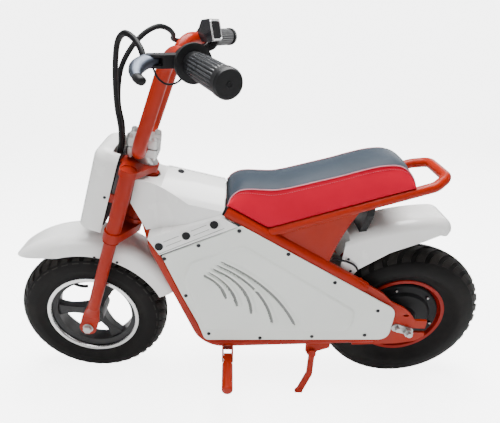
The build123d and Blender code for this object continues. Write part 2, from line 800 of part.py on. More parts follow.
def rear_guard_form(inset):
    """Outside of the rear mudguard; the inner form is deeper, so that it opens below."""
    low = 4 * inset
    with BuildPart() as form:
        with BuildSketch(side_view(0)):
            with BuildLine():
                Polyline(
                    (556, 402 - inset), (552, 330), (574, 298 - low), (590, 326 - low), (650, 369 - low),
                    (717, 399 - low), (744, 413 - low), (766 - inset, 408 - low), (770 - inset, 418 - inset),
                )
                ThreePointArc((770 - inset, 418 - inset), (763 - inset, 437 - inset), (742 - inset, 446 - inset))
                ThreePointArc((742 - inset, 446 - inset), (655 - inset, 434 - inset), (556, 402 - inset))
            make_face()
        extrude(amount=rear_guard_half - inset, both=True)
        outline_edges = form.edges().filter_by(lambda e: abs(abs(e.center().Y) - rear_guard_half + inset) < 0.5)
        crown_edges = outline_edges.filter_by(lambda e: e.center().X > 760 or (e.center().X > 600 and e.center().Z > 420))
        fillet(crown_edges, rear_guard_shoulder - inset)
    return form.part


rear_guard_outside = rear_guard_form(0)
with BuildPart() as rear_fender:
    add(rear_guard_outside)
    add(rear_guard_form(fender_wall), mode=Mode.SUBTRACT)
    with BuildSketch(side_view(0)):
        with Locations((554, 350)):
            Rectangle(20.0, 110.0)
    extrude(amount=rear_guard_half - fender_wall, both=True, mode=Mode.SUBTRACT)
pieces["rear_fender"] = rear_fender

# Tank cover: a crowned shell, narrow at the nose to let the fork swing
tank_rear_x = 305.0
tank_top_slope = math.radians(12.96)
tube_notch = 1.0


def tank_form(inset):
    """Outside of the tank cover, smaller all round by the inset."""
    nose = tank_nose_half - inset
    wide = tank_half - inset
    nose_top = fork_point(14.0 + inset, 0, 385.0 - inset)
    clamp_rear = fork_point(64.0, 0, 385.0 - inset)
    with BuildPart() as form:
        with BuildSketch(side_view(0)):
            with BuildLine():
                Polyline(
                    (152 + inset, 408 - 40 * inset),
                    (120 + inset, 478),
                    (nose_top.X, nose_top.Z),
                    (clamp_rear.X, clamp_rear.Z),
                    (clamp_rear.X + 10, 540),
                    (tank_rear_x + 2 * inset, 540),
                    (tank_rear_x + 2 * inset, 447 - 40 * inset),
                    close=True,
                )
            make_face()
        extrude(amount=wide, both=True)
        with BuildSketch(Plane.XY):
            with BuildLine():
                Polyline(
                    (100, -nose), (172, -nose - 1), (236, -wide), (400, -wide),
                    (400, wide), (236, wide), (172, nose + 1), (100, nose), close=True,
                )
            make_face()
        extrude(amount=700.0, mode=Mode.INTERSECT)
        crown = Plane(
            origin=(100, 0, 551.0 - inset), x_dir=(0, 1, 0), z_dir=(math.cos(tank_top_slope), 0, -math.sin(tank_top_slope)),
        )
        with BuildSketch(crown):
            with BuildLine():
                ThreePointArc((-wide, -tank_crown), (0, 0), (wide, -tank_crown))
                Polyline((wide, -tank_crown), (wide, -400), (-wide, -400), (-wide, -tank_crown))
            make_face()
        extrude(amount=400.0, both=True, mode=Mode.INTERSECT)
    return form.part


tank_outside = tank_form(0)
tank_inside = tank_form(tank_wall)
with BuildPart() as tank_cut:
    add(tank_outside)
    add(tank_inside, mode=Mode.SUBTRACT)
    with BuildSketch(fork.offset(head_bottom - 40.0)):
        with Locations((fork_offset, 0)):
            Circle(head_cup_radius + 4.0)
        with Locations((fork_offset - 25.0, 0)):
            Rectangle(50.0, 2 * head_cup_radius + 8.0)
    extrude(amount=200.0, mode=Mode.SUBTRACT)
    for side_point in (left, right):
        with BuildSketch(across(side_point(diagonal_front), side_point(diagonal_rear)).offset(-5.0)):
            Circle(tube_radius + tube_notch)
        extrude(amount=60.0, mode=Mode.SUBTRACT)
        with BuildLine() as notch_run:
            FilletPolyline(
                fork_point(fork_offset, 0, head_joint_height), side_point(upper_corner), side_point(lower_corner),
                radius=[head_bend],
            )
        with BuildSketch(Plane(origin=notch_run.line @ 0, z_dir=notch_run.line % 0)):
            Circle(tube_radius + tube_notch)
        sweep(mode=Mode.SUBTRACT)
with BuildPart() as tank_cover:
    add(tank_cut.part.solids().sort_by(SortBy.VOLUME)[-1])
pieces["tank_cover"] = tank_cover

# Side covers with a raised panel and five curved louvres
cover_inner_y = frame_half + tube_radius + 0.3
cover_outer_y = cover_inner_y + cover_thickness
cover_bulge = 4.0
louvre_table = [
    # start, middle and end of each slot, as (x, z)
    ((265, 332), (300, 305), (313, 270)),
    ((273, 340), (310, 315), (337, 250)),
    ((282, 348), (325, 330), (368, 230)),
    ((290, 357), (340, 340), (415, 205)),
    ((298, 366), (340, 355), (465, 200)),
]
cover_screws = [
    (184, 366), (254, 399), (334, 434), (434, 382), (536, 314), (638, 241),
    (621, 171), (504, 164), (388, 157), (273, 167), (225, 273),
]
with BuildPart() as side_cover_left:
    with BuildSketch(side_view(-cover_inner_y)):
        with BuildLine():
            Polyline(
                (177, 372), (338, 444), (600, 290), (662, 250), (676, 225), (676, 190),
                (660, 162), (640, 157), (272, 147), (258, 155), (246, 195), (212, 276), close=True,
            )
        make_face()
    extrude(amount=cover_thickness)
    with BuildSketch(side_view(-cover_outer_y)):
        with BuildLine():
            Polyline((222, 318), (236, 358), (345, 400), (586, 240), (590, 215), (570, 185), (280, 183), (262, 195), close=True)
        make_face()
    extrude(amount=cover_bulge, taper=45)
    for start, middle, end in louvre_table:
        with BuildSketch(side_view(-cover_outer_y + 1.0)):
            with BuildLine():
                ThreePointArc(start, middle, end)
            trace(line_width=3.0)
        extrude(amount=cover_bulge + 4.0, mode=Mode.SUBTRACT)
    with BuildSketch(side_view(-cover_inner_y)):
        with Locations(*cover_screws):
            Circle(2.5)
    extrude(amount=cover_thickness, mode=Mode.SUBTRACT)
with BuildPart() as side_cover_right:
    mirror(side_cover_left.part, about=Plane.XZ)
pieces["side_cover_left"] = side_cover_left
pieces["side_cover_right"] = side_cover_right

# Trim strips with three round caps each
strip_inner_y = frame_half + tube_radius + 0.3
strip_thickness = 3.0
strip_caps_at = [(175, 395), (230, 421), (285, 447)]
with BuildPart() as trim_strip_left:
    with BuildSketch(side_view(-strip_inner_y)):
        with BuildLine():
            Polyline((153, 412), (299, 462), (331, 443), (175, 374.5), close=True)
        make_face()
    extrude(amount=strip_thickness)
with BuildPart() as trim_strip_right:
    mirror(trim_strip_left.part, about=Plane.XZ)
pieces["trim_strip_left"] = trim_strip_left
pieces["trim_strip_right"] = trim_strip_right
with BuildPart() as strip_caps:
    for side in (-1, 1):
        with BuildSketch(side_view(side * (strip_inner_y + strip_thickness))):
            with Locations(*strip_caps_at):
                Circle(8.5)
        extrude(amount=-side * 3.5, taper=15)
pieces["strip_caps"] = strip_caps

# Seat: a base board on the tubes and one cushion
seat_half = 69.0
seat_gap = 0.3
board = 8.0
board_half = 58.0
board_front_x = 322.0
board_rear_x = 640.0


def front_bed(x):
    """Top of the diagonal tubes with the seat's clearance."""
    return above(diagonal_front, diagonal_rear, tube_radius + seat_gap, x)


def rear_bed(x):
    """Top of the rails with the seat's clearance."""
    return above(rail_front, rail_bend, rail_radius + seat_gap, x)


def bed(x):
    """Height of the frame under the seat at x."""
    return max(front_bed(x), rear_bed(x))


bed_corner_x = (rear_bed(0) - front_bed(0)) / (slope_of(diagonal_front, diagonal_rear) - slope_of(rail_front, rail_bend))
bed_corner_z = front_bed(bed_corner_x)


def board_outline(grow, low):
    """Side outline of the base board, larger by grow, its underside lowered by low."""
    front = board_front_x - grow
    rear = board_rear_x + grow
    with BuildSketch() as outline:
        with BuildLine():
            Polyline(
                (front, bed(front) - low), (bed_corner_x, bed_corner_z - low), (rear, bed(rear) - low),
                (rear, bed(rear) + board + grow), (bed_corner_x, bed_corner_z + board + 1.0 + grow),
                (front, bed(front) + board + 1.0 + grow), close=True,
            )
        make_face()
    return outline.sketch


with BuildPart() as seat_base:
    with BuildSketch(side_view(0)):
        add(board_outline(0, 0))
    extrude(amount=board_half, both=True)
pieces["seat_base"] = seat_base

# The seam between the seat's side and its top, front to rear, as (x, z)
seat_seam = [
    (325, 492), (331, 503), (345, 510), (398, 510), (448, 520), (575, 557), (612, 563), (641, 551), (651, 531),
]
seat_middle_x = (seat_seam[0][0] + seat_seam[-1][0]) / 2
seat_sections = [
    # y, share of the height over the bed, lift over the seam, stretch of the length
    (-seat_half, 0.10, 0.0, 1.07),
    (-50.0, 1.0, 0.0, 1.0),
    (-36.0, 1.0, 7.5, 0.985),
    (0.0, 1.0, 10.0, 0.98),
    (36.0, 1.0, 7.5, 0.985),
    (50.0, 1.0, 0.0, 1.0),
    (seat_half, 0.10, 0.0, 1.07),
]


def seat_profile(share, lift, stretch):
    """Side profile of the cushion: flat bed, rounded ends, dipped and rising top."""
    top = []
    for x, z in seat_seam:
        new_x = seat_middle_x + (x - seat_middle_x) * stretch
        top.append((new_x, bed(new_x) + share * (z - bed(x)) + lift))
    front_x = top[0][0]
    rear_x = top[-1][0]
    with BuildSketch() as profile:
        with BuildLine():
            Polyline(top[0], (front_x, bed(front_x)), (bed_corner_x, bed_corner_z), (rear_x, bed(rear_x)), top[-1])
            ThreePointArc(top[0], top[1], top[2])
            ThreePointArc(top[2], top[3], top[4])
            Line(top[4], top[5])
            ThreePointArc(top[5], top[6], top[7])
            Line(top[7], top[8])
        make_face()
    return profile.sketch


with BuildPart() as seat_cushion:
    for near, far in zip(seat_sections, seat_sections[1:]):
        for y, share, lift, stretch in (near, far):
            with BuildSketch(side_view(y)):
                add(seat_profile(share, lift, stretch))
        loft(ruled=True)
    with BuildSketch(side_view(0)):
        add(board_outline(seat_gap, 20.0))
    extrude(amount=board_half + seat_gap, both=True, mode=Mode.SUBTRACT)
pieces["seat_cushion"] = seat_cushion

# Bracket that hangs the rear mudguard from the rails
hanger_x = 582.0
hanger_length = 14.0
with BuildPart() as fender_bracket:
    with BuildSketch(Plane(origin=(hanger_x, 0, 0), x_dir=(0, 1, 0), z_dir=(1, 0, 0))):
        with BuildLine():
            wide = frame_half - 1.0
            narrow = rear_guard_half - rear_guard_shoulder + 2.0
            Polyline((-wide, 482), (-wide, 462), (-narrow, 400), (narrow, 400), (wide, 462), (wide, 482), close=True)
        make_face()
    extrude(amount=hanger_length)
    for side_point in (left, right):
        with BuildSketch(across(side_point(rail_front), side_point(rail_bend))):
            Circle(rail_radius)
        extrude(amount=300.0, mode=Mode.SUBTRACT)
    add(rear_guard_outside, mode=Mode.SUBTRACT)
pieces["fender_bracket"] = fender_bracket

# Side stand and its bracket under the left tube
stand_pivot = Vector(510, -72, 110)
stand_plane = Plane(origin=stand_pivot, x_dir=(1, 0, 0), z_dir=(0, -0.975, 0.2222))
stand_knee = (-3.0, -53.0)
stand_tip = (-25.0, -102.5)
stand_pin_radius = 4.0
ground = Plane(
    origin=(0, 0, crown_radius - crown_radius / math.cos(math.radians(lean))),
    x_dir=(1, 0, 0),
    z_dir=(0, math.sin(math.radians(lean)), math.cos(math.radians(lean))),
)
with BuildPart() as stand_bracket:
    with BuildSketch(stand_plane.offset(-5.5)):
        with BuildLine():
            Polyline((-14, 36), (44, 30), (40, 12), (12, 2), (8, -8), (-8, -8), (-14, 2), close=True)
        make_face()
    extrude(amount=5.0)
    with BuildSketch(stand_plane.offset(-5.5)):
        Circle(stand_pin_radius)
    extrude(amount=5.0 + 8.0 + 0.5)
    with BuildSketch(across(left(lower_corner), left(bottom_tube_end))):
        Circle(tube_radius)
    extrude(amount=400.0, mode=Mode.SUBTRACT)
pieces["stand_bracket"] = stand_bracket
with BuildPart() as side_stand:
    with BuildSketch(stand_plane):
        with BuildLine():
            Polyline((0, 0), stand_knee, stand_tip)
        trace(line_width=13.0)
        Circle(9.0)
        with Locations(stand_knee):
            Circle(6.5)
        with Locations(stand_tip):
            Circle(9.0)
    extrude(amount=8.0)
    with BuildSketch(stand_plane):
        Circle(stand_pin_radius + running_gap)
    extrude(amount=8.0, mode=Mode.SUBTRACT)
    split(bisect_by=ground, keep=Keep.TOP)
pieces["side_stand"] = side_stand

# Footpegs, each hinged between two lugs under its tube
peg_x = 316.0
peg_pivot_y = 88.0
peg_z = 106.0
peg_radius = 12.0
peg_end_y = 182.0
peg_tongue = 17.0
peg_tongue_length = 22.0
lug_gap = 0.3
lug_thickness = 4.0
with BuildPart() as peg_bracket_left:
    for side in (-1, 1):
        with BuildSketch(Plane(origin=(peg_x + side * (peg_tongue / 2 + lug_gap), 0, 0), x_dir=(0, 1, 0), z_dir=(1, 0, 0))):
            with BuildLine():
                Polyline((-56, 132), (-74, 132), (-97, 112), (-97, 99), (-80, 96), (-56, 116), close=True)
            make_face()
        extrude(amount=side * lug_thickness)
    with BuildSketch(Plane(origin=(peg_x - peg_tongue / 2 - lug_gap, 0, 0), x_dir=(0, 1, 0), z_dir=(1, 0, 0))):
        with BuildLine():
            Polyline((-56, 132), (-66, 132), (-66, 107), (-56, 116), close=True)
        make_face()
        with Locations((-peg_pivot_y, peg_z)):
            Circle(3.0)
    extrude(amount=peg_tongue + 2 * lug_gap)
    with BuildSketch(across(left(lower_corner), left(bottom_tube_end))):
        Circle(tube_radius)
    extrude(amount=400.0, mode=Mode.SUBTRACT)
with BuildPart() as footpeg_left:
    with BuildSketch(side_view(-peg_pivot_y - peg_tongue_length)):
        with Locations((peg_x, peg_z)):
            Circle(peg_radius)
    extrude(amount=peg_end_y - peg_pivot_y - peg_tongue_length)
    fillet(footpeg_left.faces().sort_by(Axis.Y)[0].edges(), 6.0)
    with BuildSketch(Plane(origin=(peg_x - peg_tongue / 2, 0, 0), x_dir=(0, 1, 0), z_dir=(1, 0, 0))):
        with Locations((-peg_pivot_y, peg_z)):
            Circle(9.0)
        with Locations((-peg_pivot_y - peg_tongue_length / 2, peg_z)):
            Rectangle(peg_tongue_length + 1.0, 18.0)
    extrude(amount=peg_tongue)
    with BuildSketch(Plane(origin=(peg_x - peg_tongue / 2, 0, 0), x_dir=(0, 1, 0), z_dir=(1, 0, 0))):
        with Locations((-peg_pivot_y, peg_z)):
            Circle(3.0 + running_gap)
    extrude(amount=peg_tongue, mode=Mode.SUBTRACT)
for name, source in (("peg_bracket", peg_bracket_left), ("footpeg", footpeg_left)):
    with BuildPart() as mirrored:
        mirror(source.part, about=Plane.XZ)
    pieces[name + "_left"] = source
    pieces[name + "_right"] = mirrored

# Cable looms on the steering, each a chosen route in space
loom_table = [
    # name, radius, points from the handlebar end to the hidden end
    ("loom_left", loom_radius, [
        (186, -176, 763), (170, -160, 796), (138, -137, 800), (122, -114, 768), (119, -96, 718),
        (119, -74, 668), (118, -50, 622), (108, -38, 584), (96, -34, 552),
    ]),
    ("loom_right", loom_radius, [
        (222, 60, 780), (198, 42, 802), (165, 18, 798), (139, -10, 768), (124, -36, 724),
        (117, -50, 678), (118, -34, 628), (109, -22, 586), (97, -18, 552),
    ]),
    ("switch_wire", wire_radius, [
        (204, -176, 750.4), (208, -169, 735), (220, -163, 725), (236, -161, 728), (247, -162.5, 741.4),
    ]),
]
for name, radius, points in loom_table:
    corners = [Vector(*p) for p in points]
    runs = [(b - a).length for a, b in zip(corners, corners[1:])]
    turns = [(b - a).get_angle(c - b) for a, b, c in zip(corners, corners[1:], corners[2:])]
    bends = [0.45 * min(r, s) / math.tan(math.radians(t) / 2) for r, s, t in zip(runs, runs[1:], turns)]
    with BuildPart() as loom:
        with BuildLine() as route:
            FilletPolyline(*corners, radius=bends)
        with BuildSketch(Plane(origin=route.line @ 0, z_dir=route.line % 0)):
            Circle(radius)
        sweep()
    length = sum(edge.length for edge in route.edges())
    print(name, "runs", [round(r) for r in runs], "turns", [round(t) for t in turns], "radii", [round(b) for b in bends])
    print(name, "volume ratio", round(loom.part.volume / (math.pi * radius**2 * length), 4))
    pieces[name] = loom

# Parked pose: lean about the tyres' crown centres, then centre on the ground
lean_angle = math.radians(lean)
middle_x = (wheelbase + rear_radius - front_radius) / 2
middle_y = (bar_end[1] - crown_radius) * math.sin(lean_angle)
parked = Pos(-middle_x, middle_y, crown_radius) * Rot(lean, 0, 0) * Pos(0, 0, -crown_radius)
for name, piece in pieces.items():
    piece.part.label = name
    standing = parked * piece.part
    standing.label = name
    export_step(standing, f"parts/{name}.step")
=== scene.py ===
# %% [markdown]
# # A child's electric mini motorcycle, dressed for its picture
#
# The solids of the bike come from the packed model: tubes, wheels, covers and
# joints are already in place and at their real size. This lesson adds what a
# solid model lacks: paint, rubber and moulded plastic, the stitched seat, the
# tread of the tyres, the screws, and a camera that stands where the
# photographer stood. Every piece is made in metres, at its final place.

import math

import bmesh
import bpy
import numpy as np
from mathutils import Matrix, Vector


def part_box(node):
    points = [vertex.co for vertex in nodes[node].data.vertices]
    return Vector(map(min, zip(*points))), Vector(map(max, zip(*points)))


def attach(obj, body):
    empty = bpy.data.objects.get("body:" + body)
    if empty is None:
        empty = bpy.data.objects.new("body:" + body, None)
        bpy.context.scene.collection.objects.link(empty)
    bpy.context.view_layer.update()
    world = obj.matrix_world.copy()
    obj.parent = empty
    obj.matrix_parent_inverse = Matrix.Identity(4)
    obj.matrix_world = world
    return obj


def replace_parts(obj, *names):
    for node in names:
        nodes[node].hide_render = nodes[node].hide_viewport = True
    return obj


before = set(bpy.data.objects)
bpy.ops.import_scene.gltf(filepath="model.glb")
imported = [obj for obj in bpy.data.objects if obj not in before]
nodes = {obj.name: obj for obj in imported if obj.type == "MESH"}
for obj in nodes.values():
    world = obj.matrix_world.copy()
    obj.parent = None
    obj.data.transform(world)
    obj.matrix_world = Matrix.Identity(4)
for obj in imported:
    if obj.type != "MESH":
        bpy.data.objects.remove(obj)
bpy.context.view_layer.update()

# %% [markdown]
# The bike leans on its side stand, but a bike is drawn upright. So its sizes
# are written here in an upright frame, in millimetres: x runs rearward from
# the front axle, y to the rider's right and z up from the ground. One function
# takes such a point to where the parked bike has it, and another does the same
# for a direction. The fork has a frame of its own, tilted back by the rake.

# %% From the upright bike to the parked one
LEAN = math.radians(6.0)
RAKE = math.radians(18.5)
MIDDLE_X = 363.0
CROWN_RADIUS = 40.0
BAR_HEIGHT = 752.0
MIDDLE_Y = (BAR_HEIGHT - CROWN_RADIUS) * math.sin(LEAN)
LEANING = Matrix.Rotation(LEAN, 4, "X")
PARKED = (
    Matrix.Scale(0.001, 4)
    @ Matrix.Translation((-MIDDLE_X, MIDDLE_Y, CROWN_RADIUS))
    @ LEANING
    @ Matrix.Translation((0, 0, -CROWN_RADIUS))
)


def bike(x, y, z):
    """A point of the upright bike, where the parked bike has it."""
    return PARKED @ Vector((x, y, z))


def heading(x, y, z):
    """A direction of the upright bike, leaned over with the bike."""
    return (LEANING.to_3x3() @ Vector((x, y, z))).normalized()


FRONT_AXLE = Vector((0.0, 0.0, 170.0))
REAR_AXLE = Vector((716.0, 0.0, 180.0))


def fork(rearward, y, height):
    """Rearward of the fork's own line and up it from the axle, as a point of the upright bike."""
    x = rearward * math.cos(RAKE) + height * math.sin(RAKE)
    z = FRONT_AXLE.z - rearward * math.sin(RAKE) + height * math.cos(RAKE)
    return x, y, z


axle_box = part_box("front_axle")
print("front axle", [round(v, 4) for v in bike(*FRONT_AXLE)], "its solid's middle",
      [round(v, 4) for v in (axle_box[0] + axle_box[1]) / 2])

# %% [markdown]
# ## Camera
#
# The camera's place was worked out from the photograph by matching the wheels'
# outlines and the tubes' corners: it stands a little above the handlebar, to
# the left of the bike, and looks down at it. Its directions are built from
# the pan, the tilt and a small roll, then leaned like everything else, because
# they were measured against the upright bike.

# %% Camera
PHOTO_WIDTH, PHOTO_HEIGHT = 500.0, 423.0
FOCAL_PIXELS = 420.15
PHOTO_MIDDLE = (225.28, 213.06)
EYE = (311.08, -785.62, 845.01)
PAN, TILT, ROLL = (math.radians(a) for a in (-0.38, 27.73, 0.77))


def photographer():
    """The camera that sees the bike as the photograph does."""
    ahead = Vector((math.sin(PAN) * math.cos(TILT), math.cos(PAN) * math.cos(TILT), -math.sin(TILT)))
    level = Vector((math.cos(PAN), -math.sin(PAN), 0.0))
    upward = level.cross(ahead)
    across = math.cos(ROLL) * level + math.sin(ROLL) * upward
    upright = -math.sin(ROLL) * level + math.cos(ROLL) * upward
    data = bpy.data.cameras.new("photographer")
    data.sensor_width = 36.0
    data.sensor_fit = "HORIZONTAL"
    data.lens = FOCAL_PIXELS / PHOTO_WIDTH * data.sensor_width
    data.shift_x = (PHOTO_WIDTH / 2 - PHOTO_MIDDLE[0]) / PHOTO_WIDTH
    data.shift_y = (PHOTO_MIDDLE[1] - PHOTO_HEIGHT / 2) / PHOTO_WIDTH
    data.clip_start, data.clip_end = 0.05, 50.0
    camera = bpy.data.objects.new("photographer", data)
    axes = [LEANING.to_3x3() @ v for v in (across, upright, -ahead)]
    turned = Matrix(axes).transposed().to_4x4()
    camera.matrix_world = Matrix.Translation(bike(*EYE)) @ turned
    bpy.context.scene.collection.objects.link(camera)
    bpy.context.scene.camera = camera
    return camera


camera = photographer()
print("lens", round(camera.data.lens, 2), "mm, at", [round(v, 3) for v in camera.location])

# %% [markdown]
# ## Floor and light
#
# The photograph is a cut-out on white, lit by a broad soft light from above.
# A pale floor that curves up into nothing is enough, with one large lamp
# overhead, a weaker one on each side to fill the shadows, and a faint white
# world.

# %% Floor and light
FLOOR_FLAT = 3.6
SWEEP_RADIUS = 1.6
SWEEP_TOP = 3.4


def floor_piece():
    """A round pale floor whose edge curves up into a low wall, like a paper sweep."""
    quarter = np.linspace(0, math.pi / 2, 13)
    bend = [(FLOOR_FLAT + SWEEP_RADIUS * math.sin(a), SWEEP_RADIUS * (1 - math.cos(a))) for a in quarter]
    outline = [(0.02, 0.0), (1.6, 0.0), *bend, (FLOOR_FLAT + SWEEP_RADIUS, SWEEP_TOP)]
    steps = 96
    points = [
        (r * math.cos(2 * math.pi * k / steps), r * math.sin(2 * math.pi * k / steps), z)
        for r, z in outline for k in range(steps)
    ]
    faces = [tuple(range(steps))]
    for row in range(len(outline) - 1):
        for k in range(steps):
            near, far = row * steps, (row + 1) * steps
            faces.append((near + k, far + k, far + (k + 1) % steps, near + (k + 1) % steps))
    mesh = bpy.data.meshes.new("floor")
    mesh.from_pydata(points, [], faces)
    mesh.shade_smooth()
    piece = bpy.data.objects.new("floor", mesh)
    bpy.context.scene.collection.objects.link(piece)
    return piece


def lamp(name, place, aim, size, watts):
    """A square soft box at a place, turned to what it lights."""
    data = bpy.data.lights.new(name, "AREA")
    data.shape = "SQUARE"
    data.size = size
    data.energy = watts
    light = bpy.data.objects.new(name, data)
    way = Vector(aim) - Vector(place)
    light.matrix_world = Matrix.Translation(place) @ way.to_track_quat("-Z", "Y").to_matrix().to_4x4()
    bpy.context.scene.collection.objects.link(light)
    return light


floor = floor_piece()
lamps = [
    lamp("overhead", (0.0, 0.15, 2.1), (0, 0, 0.3), 1.5, 105.0),
    lamp("camera_side", (-1.4, -2.1, 1.3), (0, 0, 0.35), 1.2, 21.0),
    lamp("far_side", (1.6, 1.9, 1.6), (0, 0, 0.4), 1.2, 16.0),
]
world = bpy.data.worlds.new("studio")
world.use_nodes = True
world.node_tree.nodes["Background"].inputs["Color"].default_value = (1.0, 1.0, 1.0, 1.0)
world.node_tree.nodes["Background"].inputs["Strength"].default_value = 0.07
bpy.context.scene.world = world
print("lamps", [light.name for light in lamps])

# %% [markdown]
# ## Writing finishes as sums
#
# A finish is a small calculation: dust where the noise is high, a worn edge
# where the surface bends. Wiring that by hand is slow to read, so two small
# classes let it be written as ordinary sums. A `Signal` is a number that
# changes over the surface, and adding or multiplying signals adds the Math
# nodes. A `Finish` is one material. It is a `Tree`, which can add any node
# and plug anything into it, and the recipes further down are trees too.


# %% Signals and finishes
class Signal:
    """A number that varies over a surface, with Python's own operators."""

    def __init__(self, finish, socket):
        self.finish = finish
        self.socket = socket

    def __add__(self, other):
        return self.finish.sum("ADD", self, other)

    def __mul__(self, other):
        return self.finish.sum("MULTIPLY", self, other)

    def __gt__(self, other):
        return self.finish.sum("GREATER_THAN", self, other)

    __radd__ = __add__
    __rmul__ = __mul__

    def ramp(self, low, high, to_low=0.0, to_high=1.0):
        """The signal spread from low..high to another span, and held within it."""
        spread = self.finish.node(
            "ShaderNodeMapRange",
            {"interpolation_type": "SMOOTHSTEP"},
            {"Value": self, "From Min": low, "From Max": high, "To Min": to_low, "To Max": to_high},
        )
        return Signal(self.finish, spread.outputs["Result"])


class Tree:
    """A node tree that nodes are added to."""

    def plug(self, socket, value):
        """Link a signal or a node's output to a socket, or set a plain value on it."""
        if isinstance(value, Signal):
            value = value.socket
        if isinstance(value, bpy.types.NodeSocket):
            self.tree.links.new(value, socket)
        elif isinstance(value, tuple) and len(value) == 3 and socket.type == "RGBA":
            socket.default_value = (*value, 1.0)
        else:
            socket.default_value = value

    def node(self, kind, settings=None, sockets=None):
        """Add any node: its settings first, then its sockets by name or number."""
        made = self.tree.nodes.new(kind)
        for name, value in (settings or {}).items():
            setattr(made, name, value)
        for name, value in (sockets or {}).items():
            self.plug(made.inputs[name], value)
        return made

    def first(self, kind, settings=None, sockets=None):
        """Add any node and take its first output."""
        return self.node(kind, settings, sockets).outputs[0]


class Finish(Tree):
    """One material and its node tree."""

    def __init__(self, name):
        self.material = bpy.data.materials.new(name)
        self.material.use_nodes = True
        self.tree = self.material.node_tree
        self.shader = self.tree.nodes["Principled BSDF"]
        self.place = self.node("ShaderNodeTexCoord").outputs["Object"]

    def sum(self, operation, one, other):
        return Signal(self, self.first("ShaderNodeMath", {"operation": operation}, {0: one, 1: other}))

    def noise(self, scale, detail=3.0, roughness=0.55, place=None):
        """Cloudy noise, near 0.5 on average, with so many clouds to the metre."""
        sockets = {"Vector": place or self.place, "Scale": scale, "Detail": detail, "Roughness": roughness}
        return Signal(self, self.node("ShaderNodeTexNoise", None, sockets).outputs["Fac"])

    def cells(self, scale):
        """Distance to the nearest of many scattered points."""
        made = self.node("ShaderNodeTexVoronoi", None, {"Vector": self.place, "Scale": scale})
        return Signal(self, made.outputs["Distance"])

    def vector(self, operation, sockets, output=0):
        """Vector arithmetic."""
        return self.node("ShaderNodeVectorMath", {"operation": operation}, sockets).outputs[output]

    def stretched(self, x, y, z):
        """The place, stretched along each axis, for grain that runs one way."""
        return self.vector("MULTIPLY", {0: self.place, 1: (x, y, z)})

    def blend(self, factor, first, second):
        """Between two colours, each a tuple or a socket."""
        made = self.node("ShaderNodeMix", {"data_type": "RGBA"}, {"Factor": factor, "A": first, "B": second})
        return made.outputs["Result"]

    def bump(self, height, depth, strength=1.0, under=None):
        """Relief of a depth in metres."""
        sockets = {"Height": height, "Distance": depth, "Strength": strength}
        if under is not None:
            sockets["Normal"] = under
        return self.node("ShaderNodeBump", None, sockets).outputs["Normal"]

    def from_axle(self, axle):
        """Distance in metres from a wheel's axle line, and how far along it, to the right."""
        centre, along = tuple(bike(*axle)), tuple(heading(0, 1, 0))
        arm = self.vector("SUBTRACT", {0: self.place, 1: centre})
        side = self.vector("DOT_PRODUCT", {0: arm, 1: along}, "Value")
        part = self.vector("SCALE", {0: along, "Scale": side})
        flat = self.vector("SUBTRACT", {0: arm, 1: part})
        reach = self.vector("LENGTH", {0: flat}, "Value")
        return Signal(self, reach), Signal(self, side)

    def lay(self, **sockets):
        """Plug the shader's own sockets, with underscores for spaces, and return the material."""
        for name, value in sockets.items():
            self.plug(self.shader.inputs[name.replace("_", " ")], value)
        return self.material


print("a finish has", [name for name in vars(Finish) if not name.startswith("_")])

# %% [markdown]
# The floor is paper that seems lit from below, so that it stays white in the
# picture. Seen by the camera it glows fully. Seen by the bike it hardly does,
# or its light would wash out the paint.

# %% Floor finish
GLOW, SPILL = 5.0, 0.02


def paper_white():
    """Matte white paper lit from below: bright to the camera, with little spill on the bike."""
    finish = Finish("paper_white")
    tone = finish.noise(0.6, 2.0).ramp(0.3, 0.7, 0.9, 0.93)
    paper = finish.blend(tone, (0.80, 0.80, 0.80), (0.93, 0.93, 0.93))
    seen = Signal(finish, finish.node("ShaderNodeLightPath").outputs["Is Camera Ray"])
    glow = finish.blend(seen, (SPILL, SPILL, SPILL), (1.0, 1.0, 1.0))
    return finish.lay(Base_Color=paper, Roughness=0.9, Emission_Color=glow, Emission_Strength=GLOW)


floor.data.materials.append(paper_white())
print("floor glows", GLOW)

# %% [markdown]
# ## Paint
#
# The tubes wear an orange baked powder coat. Powder melts into a skin with a
# faint orange-peel ripple, a clear gloss over it and a little dust on top. The
# colour shifts slightly from place to place, which a flat colour would miss.


# %% Painted metal
def dust(finish, amount=0.12, scale=9.0):
    """A thin uneven veil, as a number from 0 to about the amount."""
    return finish.noise(scale, 6.0, 0.6).ramp(0.45, 0.75, 0.0, amount)


def powder_coat(name, colour, deep, roughness=0.34):
    finish = Finish(name)
    cloud = finish.noise(7.0, 4.0)
    base = finish.blend(cloud.ramp(0.3, 0.7), colour, deep)
    dusty = finish.blend(dust(finish, 0.03), base, (0.30, 0.08, 0.03))
    peel = finish.bump(finish.noise(900.0, 2.0), 0.00012)
    shine = finish.noise(24.0, 3.0).ramp(0.3, 0.75, roughness - 0.05, roughness + 0.1)
    finish.lay(Coat_Weight=0.06, Coat_Roughness=0.12, Specular_IOR_Level=0.2)
    return finish.lay(Base_Color=dusty, Roughness=shine, Normal=peel)


orange = powder_coat("orange_paint", (0.36, 0.015, 0.0001), (0.30, 0.010, 0.0001))
print(orange.name)

# %% [markdown]
# ## Plastics and rubber
#
# The covers are moulded plastic: glossy white on the tank and mudguards, and a
# slightly greener, duller white on the side covers. Black rubber never looks
# black: it greys where it is handled and browns where dust has settled.


